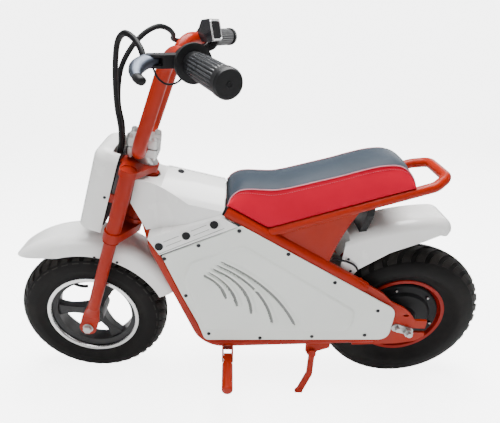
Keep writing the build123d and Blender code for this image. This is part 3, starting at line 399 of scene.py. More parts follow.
# %% Plastics and rubber
def moulded(name, colour, shade, roughness, grain=0.00004, coat=0.0, gleam=0.5):
    finish = Finish(name)
    base = finish.blend(finish.noise(3.0, 3.0).ramp(0.35, 0.7), colour, shade)
    soiled = finish.blend(dust(finish, 0.10, 5.0), base, tuple(0.72 * c for c in colour))
    skin = finish.bump(finish.noise(1400.0, 2.0), grain)
    shine = finish.noise(11.0, 4.0).ramp(0.3, 0.7, roughness - 0.05, roughness + 0.08)
    finish.lay(Coat_Weight=coat, Coat_Roughness=0.08, Specular_IOR_Level=gleam)
    return finish.lay(Base_Color=soiled, Roughness=shine, Normal=skin)


def rubber(name, colour, dusty, roughness, dust_amount):
    finish = Finish(name)
    veil = finish.noise(14.0, 6.0, 0.65).ramp(0.42, 0.8, 0.0, dust_amount)
    base = finish.blend(veil, colour, dusty)
    skin = finish.bump(finish.noise(1100.0, 3.0), 0.00010)
    return finish.lay(Base_Color=base, Roughness=veil * 0.3 + roughness, Normal=skin, Specular_IOR_Level=0.12)


white_gloss = moulded("white_gloss", (0.90, 0.90, 0.885), (0.86, 0.86, 0.84), 0.22, coat=0.3)
cover_white = moulded("cover_white", (0.82, 0.85, 0.805), (0.78, 0.81, 0.765), 0.36)
black_plastic = moulded("black_plastic", (0.01, 0.01, 0.011), (0.016, 0.016, 0.017), 0.42, 0.00008, 0.0, 0.15)
display_gloss = moulded("display_gloss", (0.012, 0.012, 0.015), (0.016, 0.016, 0.02), 0.15, 0.00001, 0.6)
battery_shell = moulded("battery_shell", (0.030, 0.030, 0.034), (0.045, 0.045, 0.05), 0.5, 0.0001)
tyre_rubber = rubber("tyre_rubber", (0.007, 0.0065, 0.0065), (0.030, 0.027, 0.024), 0.55, 0.3)
grip_rubber = moulded("grip_rubber", (0.007, 0.007, 0.008), (0.011, 0.011, 0.012), 0.42, 0.00006, 0.0, 0.25)
# Painted light: the grip ribs wear a lighter grey copy of the grip rubber, standing for the highlights on
# them.
painted_lit_rib_rubber = moulded("painted_lit_rib_rubber", (0.022, 0.024, 0.028), (0.032, 0.034, 0.038), 0.30, 0.00006, 0.0, 0.7)
cable_rubber = rubber("cable_rubber", (0.008, 0.008, 0.009), (0.03, 0.03, 0.03), 0.45, 0.2)
print("plastics and rubbers ready")

# %% [markdown]
# ## Bare metal
#
# Zinc-plated steel is grey with a faint mottle, and turned or brushed metal
# carries fine lines. The front wheel is one black casting whose outer lip has
# been turned bright, so its finish reads the distance from the axle and
# changes there from satin paint to bare metal.


# %% Metals
def plated(name, colour, roughness, mottle=0.12):
    finish = Finish(name)
    spots = finish.cells(260.0).ramp(0.0, 0.8, 0.0, mottle)
    base = finish.blend(spots, colour, tuple(0.72 * c for c in colour))
    scratches = finish.noise(60.0, 5.0, 0.6, finish.stretched(9.0, 1.0, 1.0))
    relief = finish.bump(scratches, 0.00004)
    shine = scratches.ramp(0.3, 0.7, roughness, roughness + 0.12)
    return finish.lay(Base_Color=base, Metallic=1.0, Roughness=shine, Normal=relief)


LIP_START, LIP_SIDE = 0.0955, 0.0255


def cast_wheel():
    """Satin black casting with a bright turned lip, told apart by the distance from the axle."""
    finish = Finish("cast_wheel")
    reach, side = finish.from_axle(FRONT_AXLE)
    lip = (reach > LIP_START) * (side * side > LIP_SIDE**2)
    grain = finish.noise(700.0, 3.0)
    paint = finish.blend(dust(finish, 0.2), (0.008, 0.008, 0.009), (0.05, 0.048, 0.045))
    colour = finish.blend(lip, paint, (0.78, 0.78, 0.77))
    shine = lip * -0.18 + grain.ramp(0.3, 0.7, 0.38, 0.48)
    return finish.lay(Base_Color=colour, Metallic=lip, Roughness=shine, Normal=finish.bump(grain, 0.00006))


zinc = plated("zinc_steel", (0.50, 0.50, 0.49), 0.34, 0.3)
aluminium = plated("bright_aluminium", (0.58, 0.58, 0.57), 0.30, 0.2)
lever_grey = plated("lever_grey", (0.10, 0.115, 0.145), 0.42, 0.15)
wheel_black = cast_wheel()
motor_black = moulded("motor_black", (0.008, 0.008, 0.009), (0.013, 0.013, 0.014), 0.4, gleam=0.15)
rim_orange = powder_coat("rim_orange", (0.31, 0.007, 0.0001), (0.25, 0.005, 0.0001), 0.36)
print("metals ready")

# %% [markdown]
# ## Giving the solids their finishes
#
# Each solid keeps its shape and only changes its material. The table names the
# finish once and the solids that wear it.

# %% Finishes on the solids
WEARS = {
    orange: "head_tube main_tube_left main_tube_right diagonal_tube_left diagonal_tube_right "
            "axle_plate_left axle_plate_right cross_tubes seat_frame stand_bracket peg_bracket_left "
            "peg_bracket_right fork_crown top_clamp fork_leg_left fork_leg_right handlebar side_stand "
            "footpeg_left footpeg_right",
    white_gloss: "tank_cover front_shield front_fender rear_fender trim_strip_left trim_strip_right",
    cover_white: "side_cover_left side_cover_right",
    black_plastic: "strip_caps seat_base fender_bracket lever_bracket",
    battery_shell: "battery_block",
    display_gloss: "display",
    tyre_rubber: "front_tyre rear_tyre",
    grip_rubber: "grip_left grip_right",
    cable_rubber: "loom_left loom_right switch_wire",
    zinc: "front_axle rear_axle battery_tray",
    aluminium: "bar_clamp",
    lever_grey: "brake_lever",
    wheel_black: "front_rim",
    motor_black: "motor_hub",
    rim_orange: "rear_rim",
}


def dress(piece, material):
    """Give a piece one material."""
    piece.data.materials.clear()
    piece.data.materials.append(material)


for material, names in WEARS.items():
    for name in names.split():
        dress(nodes[name], material)
bare = set(nodes) - {name for names in WEARS.values() for name in names.split()} - {"seat_cushion"}
print("solids left bare:", sorted(bare))

# %% [markdown]
# ## Growing repeated parts
#
# Screws, tread blocks, grip ribs and piping repeat one small form, so they are
# grown by Geometry Nodes. A `Recipe` is one node tree with named inputs. It
# always ends in Realize Instances and Set Material. `grow` puts the recipe on
# a mesh, takes the result as a plain mesh and drops the modifier.


# %% A recipe of geometry nodes
class Recipe(Tree):
    """One Geometry Nodes tree with named inputs."""

    def __init__(self, name, **inputs):
        self.tree = bpy.data.node_groups.new(name, "GeometryNodeTree")
        sockets = self.tree.interface
        sockets.new_socket("Geometry", in_out="INPUT", socket_type="NodeSocketGeometry")
        sockets.new_socket("Geometry", in_out="OUTPUT", socket_type="NodeSocketGeometry")
        self.identifiers = {}
        for label, kind in {**inputs, "Material": "Material"}.items():
            socket = sockets.new_socket(label, in_out="INPUT", socket_type="NodeSocket" + kind)
            self.identifiers[label] = socket.identifier
        self.given = self.tree.nodes.new("NodeGroupInput").outputs

    def scatter(self, points, form, turn):
        """The form on every point, each copy turned."""
        sockets = {"Points": points, "Instance": form, "Rotation": turn}
        return self.first("GeometryNodeInstanceOnPoints", None, sockets)

    def close(self, geometry):
        """End the tree: real geometry in its material."""
        real = self.first("GeometryNodeRealizeInstances", None, {0: geometry})
        sockets = {"Geometry": real, "Material": self.given["Material"]}
        self.node("NodeGroupOutput", None, {"Geometry": self.first("GeometryNodeSetMaterial", None, sockets)})
        return self

    def grow(self, name, mesh, **values):
        """Run the recipe on a mesh and return the result as a plain mesh."""
        carrier = bpy.data.objects.new(name + "_seed", mesh)
        bpy.context.scene.collection.objects.link(carrier)
        modifier = carrier.modifiers.new("recipe", "NODES")
        modifier.node_group = self.tree
        for label, value in values.items():
            modifier[self.identifiers[label]] = value
        ready = carrier.evaluated_get(bpy.context.evaluated_depsgraph_get())
        grown = bpy.data.meshes.new_from_object(ready)
        bpy.data.objects.remove(carrier)
        grown.name = name
        return grown


def shown(name, mesh, body, material=None, smooth=None):
    """Link a finished mesh as a piece that rides on a body."""
    piece = bpy.data.objects.new(name, mesh)
    bpy.context.scene.collection.objects.link(piece)
    if material is not None:
        dress(piece, material)
    if smooth is not None:
        mesh.shade_smooth()
        mesh.set_sharp_from_angle(angle=math.radians(smooth))
    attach(piece, body)
    return piece


def plain_mesh(name, points, faces=(), edges=()):
    """A mesh from points in metres."""
    mesh = bpy.data.meshes.new(name)
    mesh.from_pydata([tuple(p) for p in points], list(edges), list(faces))
    mesh.update()
    return mesh


def outwards(mesh):
    """Turn every face of a closed mesh outward."""
    closed = bmesh.new()
    closed.from_mesh(mesh)
    bmesh.ops.recalc_face_normals(closed, faces=closed.faces)
    closed.to_mesh(mesh)
    closed.free()
    return mesh


def ring_quads(rows, around, wrap=False):
    """Quads between rings of points that follow one another; wrap joins the last ring to the first."""
    quads = []
    for row in range(rows if wrap else rows - 1):
        near, far = row * around, (row + 1) % rows * around
        quads += [(near + k, near + (k + 1) % around, far + (k + 1) % around, far + k) for k in range(around)]
    return quads


def prism(name, front, back):
    """A closed plate between two matching outlines."""
    count = len(front)
    faces = [tuple(range(count)), tuple(range(2 * count - 1, count - 1, -1))]
    faces += [(k, count + k, count + (k + 1) % count, (k + 1) % count) for k in range(count)]
    return outwards(plain_mesh(name, front + back, faces))


def joined(name, meshes):
    """Several meshes as one, keeping their materials."""
    whole = bmesh.new()
    materials = []
    for mesh in meshes:
        first = len(whole.faces)
        offset = len(materials)
        materials += list(mesh.materials)
        whole.from_mesh(mesh)
        whole.faces.ensure_lookup_table()
        for face in whole.faces[first:]:
            face.material_index += offset
    result = bpy.data.meshes.new(name)
    whole.to_mesh(result)
    whole.free()
    for material in materials:
        result.materials.append(material)
    return result


def assembled(name, meshes, body, material=None, smooth=None):
    """Several meshes as one piece that rides on a body."""
    return shown(name, joined(name, meshes), body, material, smooth)


print("recipes can", [name for name in vars(Recipe) if not name.startswith("_")])

# %% [markdown]
# Three recipes cover most of it. The first sweeps a round section along a line
# of edges, for piping, wire and frames. The second repeats a form round the Z
# axis, for tread and ribs. The third sets a turned head on every point and
# turns it to the direction that the point carries, for screws and plugs.


# %% Three recipes
def sweep_recipe():
    recipe = Recipe("round_sweep", Radius="Float", Sides="Int")
    given = recipe.given
    line = recipe.first("GeometryNodeMeshToCurve", None, {"Mesh": given["Geometry"]})
    circle = {"Resolution": given["Sides"], "Radius": given["Radius"]}
    ring = recipe.first("GeometryNodeCurvePrimitiveCircle", None, circle)
    sweep = {"Curve": line, "Profile Curve": ring, "Fill Caps": True}
    tube = recipe.first("GeometryNodeCurveToMesh", None, sweep)
    return recipe.close(recipe.first("GeometryNodeSetShadeSmooth", None, {0: tube}))


def ring_recipe():
    recipe = Recipe("round_the_axis", Count="Int")
    given = recipe.given
    spots = recipe.first("GeometryNodePoints", None, {"Count": given["Count"]})
    index = recipe.first("GeometryNodeInputIndex")
    share = recipe.first("ShaderNodeMath", {"operation": "DIVIDE"}, {0: index, 1: given["Count"]})
    angle = recipe.first("ShaderNodeMath", {"operation": "MULTIPLY"}, {0: share, 1: 2 * math.pi})
    turn = recipe.first("ShaderNodeCombineXYZ", None, {"Z": angle})
    return recipe.close(recipe.scatter(spots, given["Geometry"], turn))


def head_recipe():
    recipe = Recipe("heads_on_points", Head="Object")
    given = recipe.given
    aim = recipe.first("GeometryNodeInputNamedAttribute", {"data_type": "FLOAT_VECTOR"}, {"Name": "aim"})
    turn = recipe.first("FunctionNodeAlignRotationToVector", {"axis": "Z"}, {"Vector": aim})
    head = recipe.node("GeometryNodeObjectInfo", None, {"Object": given["Head"]}).outputs["Geometry"]
    points = recipe.first("GeometryNodeMeshToPoints", None, {"Mesh": given["Geometry"]})
    return recipe.close(recipe.scatter(points, head, turn))


SWEEP, RING, HEADS = sweep_recipe(), ring_recipe(), head_recipe()


def tube_along(name, points, radius, material, sides=10, closed=False):
    """A round tube along points given in the upright bike's millimetres."""
    count = len(points)
    edges = [(k, (k + 1) % count) for k in range(count if closed else count - 1)]
    line = plain_mesh(name, [bike(*p) for p in points], (), edges)
    return SWEEP.grow(name, line, Radius=radius / 1000, Sides=sides, Material=material)


def smooth_path(points, steps):
    """A Catmull-Rom curve through points, as a list of points."""
    pts = [np.array(p, float) for p in points]
    count = len(pts)
    out = []
    for k in range(count - 1):
        a, b, c, d = (pts[min(max(k + j - 1, 0), count - 1)] for j in range(4))
        square, cube = 2 * a - 5 * b + 4 * c - d, 3 * b - a - 3 * c + d
        for t in np.linspace(0, 1, steps, endpoint=False):
            out.append(0.5 * (2 * b + (c - a) * t + square * t**2 + cube * t**3))
    return out + [pts[-1]]


def turned(name, outline, recess, sides=24):
    """A head turned about Z from (radius, height) pairs in millimetres; the first rings may be a hexagon."""
    points, faces = [], []
    for row, (radius, height) in enumerate(outline):
        for k in range(sides):
            angle = 2 * math.pi * k / sides
            reach = radius
            if row < recess:
                reach = radius * math.cos(math.pi / 6) / math.cos((angle % (math.pi / 3)) - math.pi / 6)
            points.append((reach * math.cos(angle) / 1000, reach * math.sin(angle) / 1000, height / 1000))
    for row in range(len(outline) - 1):
        for k in range(sides):
            inner, outer = row * sides, (row + 1) * sides
            faces.append((inner + k, outer + k, outer + (k + 1) % sides, inner + (k + 1) % sides))
    faces.append(tuple(reversed(range(sides))))
    faces.append(tuple(range((len(outline) - 1) * sides, len(outline) * sides)))
    mesh = outwards(plain_mesh(name, points, faces))
    mesh.shade_smooth()
    mesh.set_sharp_from_angle(angle=math.radians(35))
    return bpy.data.objects.new(name, mesh)


def heads_at(name, head, spots, material):
    """One head on each (place, direction) pair of the upright bike."""
    mesh = plain_mesh(name, [bike(*place) for place, _ in spots])
    aims = mesh.attributes.new("aim", "FLOAT_VECTOR", "POINT")
    for k, (_, way) in enumerate(spots):
        aims.data[k].vector = heading(*way)
    return HEADS.grow(name, mesh, Head=head, Material=material)


def both_sides(spots):
    """The spots, and the same ones on the other side of the bike."""
    return spots + [((x, -y, z), (i, -j, k)) for (x, y, z), (i, j, k) in spots]


print("recipes", [recipe.tree.name for recipe in (SWEEP, RING, HEADS)])

# %% [markdown]
# ## Tyres
#
# The solids of the tyres are plain rings. The real ones are scooter tyres with
# a ribbed bead, a smooth wall and a tread of curved slanting blocks, set off
# by half a pitch from side to side. The carcass is one outline turned about
# the axle, sunk a little under the tread. One pitch of blocks, bent over the
# crown by rule, is repeated round the axle.

# %% Tyre carcass and tread
TREAD_DEPTH, TREAD_GAP, TREAD_SLANT = 3.4, 1.6, 1.25
TREAD_OVERHANG, SHOULDER_FALL = 3.0, 1.9
# The tread blocks wear a lighter, dustier rubber than the carcass: real dust, and painted light on the blocks.
dusty_painted_lit_tread = rubber("dusty_painted_lit_tread", (0.017, 0.0155, 0.0145), (0.055, 0.048, 0.042), 0.45, 0.45)


def wheel_matrix(axle):
    """From a wheel drawn about Z, to its place: X rearward, Y up, Z to the left."""
    turn = Matrix((heading(1, 0, 0), heading(0, 0, 1), heading(0, -1, 0))).transposed().to_4x4()
    return Matrix.Translation(bike(*axle)) @ turn @ Matrix.Scale(0.001, 4)


def crown_height(radius, across):
    """Radius of the tread at a distance across from the middle."""
    return radius - (CROWN_RADIUS - math.sqrt(max(CROWN_RADIUS**2 - across**2, 0.0)))


def carcass(name, radius, shoulder, half, bead, flange, axle):
    """The tyre's outline turned about the axle."""
    wall_top = crown_height(radius, shoulder)
    middle = (flange + 1 + wall_top) / 2
    side = [
        (bead - 6, flange - 4), (bead, flange - 3), (bead + 0.5, flange + 0.5), (bead + 2.5, flange + 4),
        (bead + 3.2, flange + 6.5), (0.55 * bead + 0.45 * half, (flange + middle) / 2 + 1),
        (half - 0.8, middle - 5), (half, middle + 1), (half - 0.6, middle + 8),
        ((half + shoulder) / 2 + 0.5, wall_top - 4), (shoulder + 0.3, wall_top - 1.2),
        (shoulder - 2, crown_height(radius, shoulder - 2) - TREAD_DEPTH),
    ]
    flat = shoulder - 7
    crown = [(a, crown_height(radius, a) - TREAD_DEPTH) for a in np.linspace(flat, -flat, 9)]
    outline = side + crown + [(-a, r) for a, r in reversed(side)]
    steps = 120
    points = [
        (r * math.cos(2 * math.pi * k / steps), r * math.sin(2 * math.pi * k / steps), a)
        for a, r in outline for k in range(steps)
    ]
    mesh = outwards(plain_mesh(name, points, ring_quads(len(outline), steps, wrap=True)))
    mesh.shade_smooth()
    return mesh


def tread_pitch(name, radius, shoulder, count):
    """One pitch of the tread: a curved block each side of the middle, half a pitch apart."""
    pitch = 2 * math.pi / count
    points, faces = [], []
    steps = 9
    reach = shoulder + TREAD_OVERHANG
    for side in (1, -1):
        shift = 0.0 if side > 0 else pitch / 2
        first = len(points)
        for k in range(steps):
            t = k / (steps - 1)
            across = TREAD_GAP + (reach - TREAD_GAP) * t
            width = 0.56 + 0.12 * t
            bend = TREAD_SLANT * pitch * (1 - (1 - t) ** 1.7)
            top = crown_height(radius, min(across, shoulder)) - max(across - shoulder, 0.0) * SHOULDER_FALL
            low = top - TREAD_DEPTH - 0.8
            for edge, level in ((-0.5, low), (-0.44, top), (0.44, top), (0.5, low)):
                angle = shift + bend + edge * width * pitch
                spread = across - (0.0 if level == top else 0.4)
                points.append((level * math.cos(angle), level * math.sin(angle), side * spread))
        for k in range(steps - 1):
            for j in range(3):
                a = first + 4 * k + j
                quad = (a, a + 1, a + 5, a + 4)
                faces.append(quad if side > 0 else quad[::-1])
        for end in (first, first + 4 * (steps - 1)):
            quad = (end, end + 3, end + 2, end + 1)
            faces.append(quad if (side > 0) == (end == first) else quad[::-1])
    return outwards(plain_mesh(name, points, faces))


TYRES = [
    # name, node, body, radius, shoulder, half width, bead, flange radius, axle, pitches
    ("front_scooter_tyre", "front_tyre", "front_wheel", 170.0, 30.0, 34.0, 26.0, 106.0, FRONT_AXLE, 38),
    ("rear_scooter_tyre", "rear_tyre", "rear_wheel", 180.0, 34.0, 40.0, 19.0, 101.0, REAR_AXLE, 34),
]
for name, node, body, radius, shoulder, half, bead, flange, axle, count in TYRES:
    pitch = tread_pitch(name + "_pitch", radius, shoulder, count)
    # The blocks take the lighter rubber: painted light.
    tread = RING.grow(name + "_tread", pitch, Count=count, Material=dusty_painted_lit_tread)
    base = carcass(name + "_carcass", radius, shoulder, half, bead, flange, axle)
    base.materials.append(tyre_rubber)
    whole = joined(name, [base, tread])
    whole.transform(wheel_matrix(axle))
    tyre = shown(name, whole, body)
    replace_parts(tyre, node)
    print(name, "triangles", sum(len(face.vertices) - 2 for face in whole.polygons))

# %% [markdown]
# ## Side covers
#
# The large covers are what makes this bike: a thin moulded sheet with a raised
# middle and five curved louvres, each a slot under a low hood. The solids have
# the raised panel and the slots, but a mould leaves no sharp step. Here the
# outer skin is a height field: rays from a middle point out to the rounded
# outline, and at each point the height is a sum of soft steps, one for the
# panel and one for each louvre.


# %% Soft steps over the cover
COVER_FACE, COVER_INNER, PANEL_RISE = 77.8, 74.8, 4.6
COVER_CORNERS = [
    # x, z and rounding radius of each corner
    (178.5, 372, 4), (338, 444, 8), (677.5, 243, 30), (675, 158, 26), (264, 147, 14), (249.5, 195, 40),
    (215, 276, 60),
]
PANEL_CORNERS = [
    (219, 318, 22), (236, 360, 22), (345, 402, 30), (588, 243, 24), (592, 182, 34), (262, 182, 22),
]
LOUVRES = [
    # three x, z points on the arc of each louvre, from its upper end down
    ((265, 332), (299, 304), (313, 270)), ((273, 340), (308, 313), (337, 250)),
    ((282, 348), (321, 326), (368, 230)), ((290, 357), (331, 335), (415, 205)),
    ((298, 366), (336, 346), (465, 200)),
]
HOOD_RISE, SLOT_DEPTH = 3.4, 2.4


def rounded_outline(corners, spacing):
    """A closed outline with round corners, as evenly spaced points."""
    path = []
    count = len(corners)
    for k, (x, z, radius) in enumerate(corners):
        here = np.array((x, z), float)
        before = np.array(corners[k - 1][:2], float) - here
        after = np.array(corners[(k + 1) % count][:2], float) - here
        back, on = np.linalg.norm(before), np.linalg.norm(after)
        reach = radius / math.tan(0.5 * math.acos(np.dot(before, after) / back / on))
        start, end = here + before / back * reach, here + after / on * reach
        path += [(1 - t) ** 2 * start + 2 * t * (1 - t) * here + t**2 * end for t in np.linspace(0, 1, 9)]
    path = np.array(path + [path[0]])
    run = np.concatenate([[0], np.cumsum(np.linalg.norm(np.diff(path, axis=0), axis=1))])
    wanted = np.arange(0, run[-1], spacing)
    return np.stack([np.interp(wanted, run, path[:, k]) for k in range(2)], axis=1)


def soft_step(value):
    held = np.clip(value, 0, 1)
    return held * held * (3 - 2 * held)


def inside_by(points, outline):
    """How far each point lies inside a closed outline; outside is negative."""
    following = np.roll(outline, -1, axis=0)
    nearest = np.full(len(points), 1e9)
    crossings = np.zeros(len(points), int)
    for a, b in zip(outline, following):
        along = b - a
        t = np.clip(((points - a) @ along) / (along @ along), 0, 1)
        nearest = np.minimum(nearest, np.linalg.norm(points - a - t[:, None] * along, axis=1))
        spans = (a[1] > points[:, 1]) != (b[1] > points[:, 1])
        if a[1] != b[1]:
            at = a[0] + (points[:, 1] - a[1]) / (b[1] - a[1]) * along[0]
            crossings += spans & (points[:, 0] < at)
    return np.where(crossings % 2 == 1, nearest, -nearest)


def circle_through(a, b, c):
    (ax, ay), (bx, by), (cx, cy) = a, b, c
    d = 2 * (ax * (by - cy) + bx * (cy - ay) + cx * (ay - by))
    sa, sb, sc = ax * ax + ay * ay, bx * bx + by * by, cx * cx + cy * cy
    x = (sa * (by - cy) + sb * (cy - ay) + sc * (ay - by)) / d
    y = (sa * (cx - bx) + sb * (ax - cx) + sc * (bx - ax)) / d
    return np.array((x, y)), math.hypot(ax - x, ay - y)


def louvre_relief(points, louvre):
    """A slot along an arc with a low hood on its upper side, both fading at the ends."""
    centre, radius = circle_through(*louvre)
    ends = [math.atan2(p[1] - centre[1], p[0] - centre[0]) for p in (louvre[2], louvre[0])]
    arm = points - centre
    angle = np.arctan2(arm[:, 1], arm[:, 0])
    share = (angle - ends[0]) / (ends[1] - ends[0])
    fade = soft_step((share + 0.04) / 0.12) * soft_step((1.04 - share) / 0.12)
    off = np.linalg.norm(arm, axis=1) - radius
    hood = HOOD_RISE * soft_step(off / 1.2) * soft_step((11.0 - off) / 8.5)
    slot = -SLOT_DEPTH * soft_step((off + 6.4) / 1.8) * soft_step((0.6 - off) / 1.2)
    return fade * (hood + slot)


def cover_height(points):
    """The panel's height and, apart, the relief of the louvres."""
    panel = inside_by(points, rounded_outline(PANEL_CORNERS, 4.0))
    rise = PANEL_RISE * soft_step((panel + 1.0) / 5.5)
    return rise, sum(louvre_relief(points, louvre) for louvre in LOUVRES)


outline = rounded_outline(COVER_CORNERS, 2.6)
print("outline points", len(outline), "panel height", float(cover_height(np.array([[480.0, 250.0]]))[0][0]))

# %% Cover skins
# Painted shade: the deepest faces of each louvre slot wear a dark grey finish that stands for the shadow in
# the slot.
painted_slot_shadow = moulded("painted_slot_shadow", (0.24, 0.25, 0.24), (0.28, 0.29, 0.28), 0.6, gleam=0.1)
COVER_MIDDLE = np.array((372.0, 292.0))
RINGS = 96
EDGE_ROUND = 0.9
PAINTED_SHADOW_BELOW = -0.7
shares = np.concatenate([np.linspace(0.02, 0.985, RINGS), [0.993, 1.0, 1.0]])
flat = np.concatenate([COVER_MIDDLE + share * (outline - COVER_MIDDLE) for share in shares])
panel_height, relief = cover_height(flat)
face_at = COVER_FACE + panel_height + relief
around = len(outline)
face_at[-2 * around:-around] -= EDGE_ROUND
face_at[-around:] = COVER_INNER
for side, name in ((-1, "left"), (1, "right")):
    places = [bike(x, side * y, z) for (x, z), y in zip(flat, face_at)]
    faces = ring_quads(len(shares), around)
    places.append(bike(COVER_MIDDLE[0], side * float(face_at[0]), COVER_MIDDLE[1]))
    faces += [((k + 1) % around, k, len(places) - 1) for k in range(around)]
    last = (len(shares) - 1) * around
    faces.append(tuple(range(last + around - 1, last - 1, -1)))
    skin = outwards(plain_mesh("moulded_cover_" + name, places, faces))
    cover = shown("moulded_cover_" + name, skin, "chassis", cover_white, smooth=50)
    skin.materials.append(painted_slot_shadow)
    # Faces deeper than the limit take the painted slot shadow.
    for face in skin.polygons:
        corners = [v for v in face.vertices if v < len(relief)]
        face.material_index = int(len(corners) == 4 and relief[corners].mean() < PAINTED_SHADOW_BELOW)
    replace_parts(cover, "side_cover_" + name)
print("cover faces", len(faces))

# %% [markdown]
# A thin dark sheet lies behind the joint between each cover and its trim
# strip, so the joint reads as a thin dark line: painted shade in the gap. In
# front, a small white shelf closes the slot between the strip and the narrower
# nose of the tank. A thin wall closes the tank's rear end, just in front of the seat.

# %% Painted gap shadows and shelves
GAP_SHADOW_OUTLINE = [(178, 366), (338, 436), (334, 447), (306, 456), (173, 384)]
GAP_SHADOW_INNER, GAP_SHADOW_OUTER = 74.56, 74.76
# Painted shade: a thin dark sheet just behind each cover's edge, standing for the shadow in the gap.
gasket_foam = moulded("gasket_foam", (0.05, 0.05, 0.05), (0.07, 0.07, 0.07), 0.7, gleam=0.1)
gaskets = []
for side in (-1, 1):
    inner, outer = ([bike(x, side * y, z) for x, z in GAP_SHADOW_OUTLINE] for y in (GAP_SHADOW_INNER, GAP_SHADOW_OUTER))
    gaskets.append(prism("gasket", inner, outer))
assembled("cover_gaskets", gaskets, "chassis", gasket_foam)


def shelf(side):
    """From the strip's top edge up and in to the tank's side, as a thin strip."""
    places = []
    xs = np.linspace(154, 300, 15)
    for x in xs:
        edge = 412 + (x - 153) * 50 / 146
        tank = 52.6 + 22.0 * min(max((x - 172) / 64, 0.0), 1.0)
        section = [
            (77.6, edge - 0.6), (77.0, edge + 1.4), (tank, edge + 5.5), (tank, edge + 3.5), (75.2, edge - 0.6),
        ]
        places += [bike(x, side * y, z) for y, z in section]
    ends = [(4, 3, 2, 1, 0), tuple(5 * (len(xs) - 1) + j for j in range(5))]
    return outwards(plain_mesh("shelf", places, ring_quads(len(xs), 5) + ends))


shelves = [shelf(side) for side in (-1, 1)]
assembled("tank_shelves", shelves, "chassis", white_gloss, smooth=40)
WALL_HALF, WALL_FOOT = 49, 446
rim = [(y, 502.5 - 31 * (y / 74) ** 2) for y in np.linspace(WALL_HALF, -WALL_HALF, 15)]
wall_section = [(-WALL_HALF, WALL_FOOT), (WALL_HALF, WALL_FOOT), *rim]
tank_wall = prism("tank_wall", *([bike(x, y, z) for y, z in wall_section] for x in (305.4, 307.0)))
shown("tank_rear_wall", tank_wall, "chassis", white_gloss)
print("gaskets, shelves and rear wall made")

# %% [markdown]
# ## Seat
#
# The saddle is a foam block under three sewn panels: a slate grey top that
# wraps over the nose and the tail, and a red panel down each side, with pale
# piping in the seams. Its form is a row of closed rings, one for each station
# along the seam, so that the seams are real lines of the mesh. Cloth pressure
# then fills the panels out between the seams, which are held still, and no
# point may move more than a few millimetres.

# %% Seat panels
SEAM_LINE = [
    # x, y, z of the left seam, from the nose to the tail
    (311.5, -66, 480), (313.5, -61, 489), (320.5, -55, 499.5), (333, -51, 507.5), (350, -50, 510.5),
    (376, -50, 510), (401, -50, 510), (425, -50, 514), (448, -50, 520), (484, -50, 530), (522, -50, 540.5),
    (560, -50, 552.5), (590, -50, 560.5), (612, -50, 563.5), (629, -51, 563), (642, -53.5, 557.5),
    (651.5, -57.5, 548), (657.5, -62, 537), (660, -66, 526),
]
SEAT_MIDDLE_X, SEAT_EDGE = 486.0, 69.0
STATIONS, TOP_COLUMNS, SIDE_ROWS = 66, 16, 8
CROWN, SIDE_SWELL, BED_RISE, BED_HALF = 9.0, 2.5, 8.6, 59.5


def seat_bed(x):
    """Top of the tubes under the seat, falling to the kink and rising behind it."""
    return max(470 - 0.5953 * (x - 306) + 12.8 * 1.1638, 423.2 + 0.337 * (x - 392) + 10.3 * 1.0553)


def even_stations(line, count):
    """Points at even spacing along a smooth curve through the line."""
    path = np.array(smooth_path(line, 12))
    run = np.concatenate([[0], np.cumsum(np.linalg.norm(np.diff(path, axis=0), axis=1))])
    wanted = np.linspace(0, run[-1], count)
    return np.stack([np.interp(wanted, run, path[:, k]) for k in range(3)], axis=1)


seam = even_stations(SEAM_LINE, STATIONS)
flow = np.gradient(seam, axis=0)
outward = np.stack([-flow[:, 2], np.zeros(len(seam)), flow[:, 0]], axis=1)
outward /= np.linalg.norm(outward, axis=1)[:, None]
points = []
for station, (place, out) in enumerate(zip(seam, outward)):
    reach = abs(place[1])
    foot_x = SEAT_MIDDLE_X + (place[0] - SEAT_MIDDLE_X) * 1.02
    foot = np.array([foot_x, -SEAT_EDGE, seat_bed(foot_x) + 0.8])
    full = min(1.0, 0.18 + 0.82 * min(station, len(seam) - 1 - station) / 8)
    ring = []
    for k in range(TOP_COLUMNS + 1):
        v = 2 * k / TOP_COLUMNS - 1
        lift = CROWN * (1 - abs(v) ** 2.8) * full
        ring.append((place[0] + out[0] * lift, reach * v, place[2] + out[2] * lift))
    for side in (1, -1):
        rows = range(1, SIDE_ROWS + 1) if side > 0 else range(SIDE_ROWS, 0, -1)
        for k in rows:
            t = k / SIDE_ROWS
            mix = place * (1 - t) + foot * t
            wide = reach * (1 - t) + SEAT_EDGE * t + SIDE_SWELL * math.sin(math.pi * t)
            ring.append((mix[0], side * wide, mix[2]))
        if side > 0:
            for k in range(1, TOP_COLUMNS):
                v = 1 - 2 * k / TOP_COLUMNS
                rise = BED_RISE if abs(v * SEAT_EDGE) < BED_HALF else 0.0
                ring.append((foot_x, SEAT_EDGE * v, foot[2] + rise))
    points.append(ring)
per_ring = len(points[0])
print("stations", len(points), "points round", per_ring, "nose", points[0][0], "tail", points[-1][0])

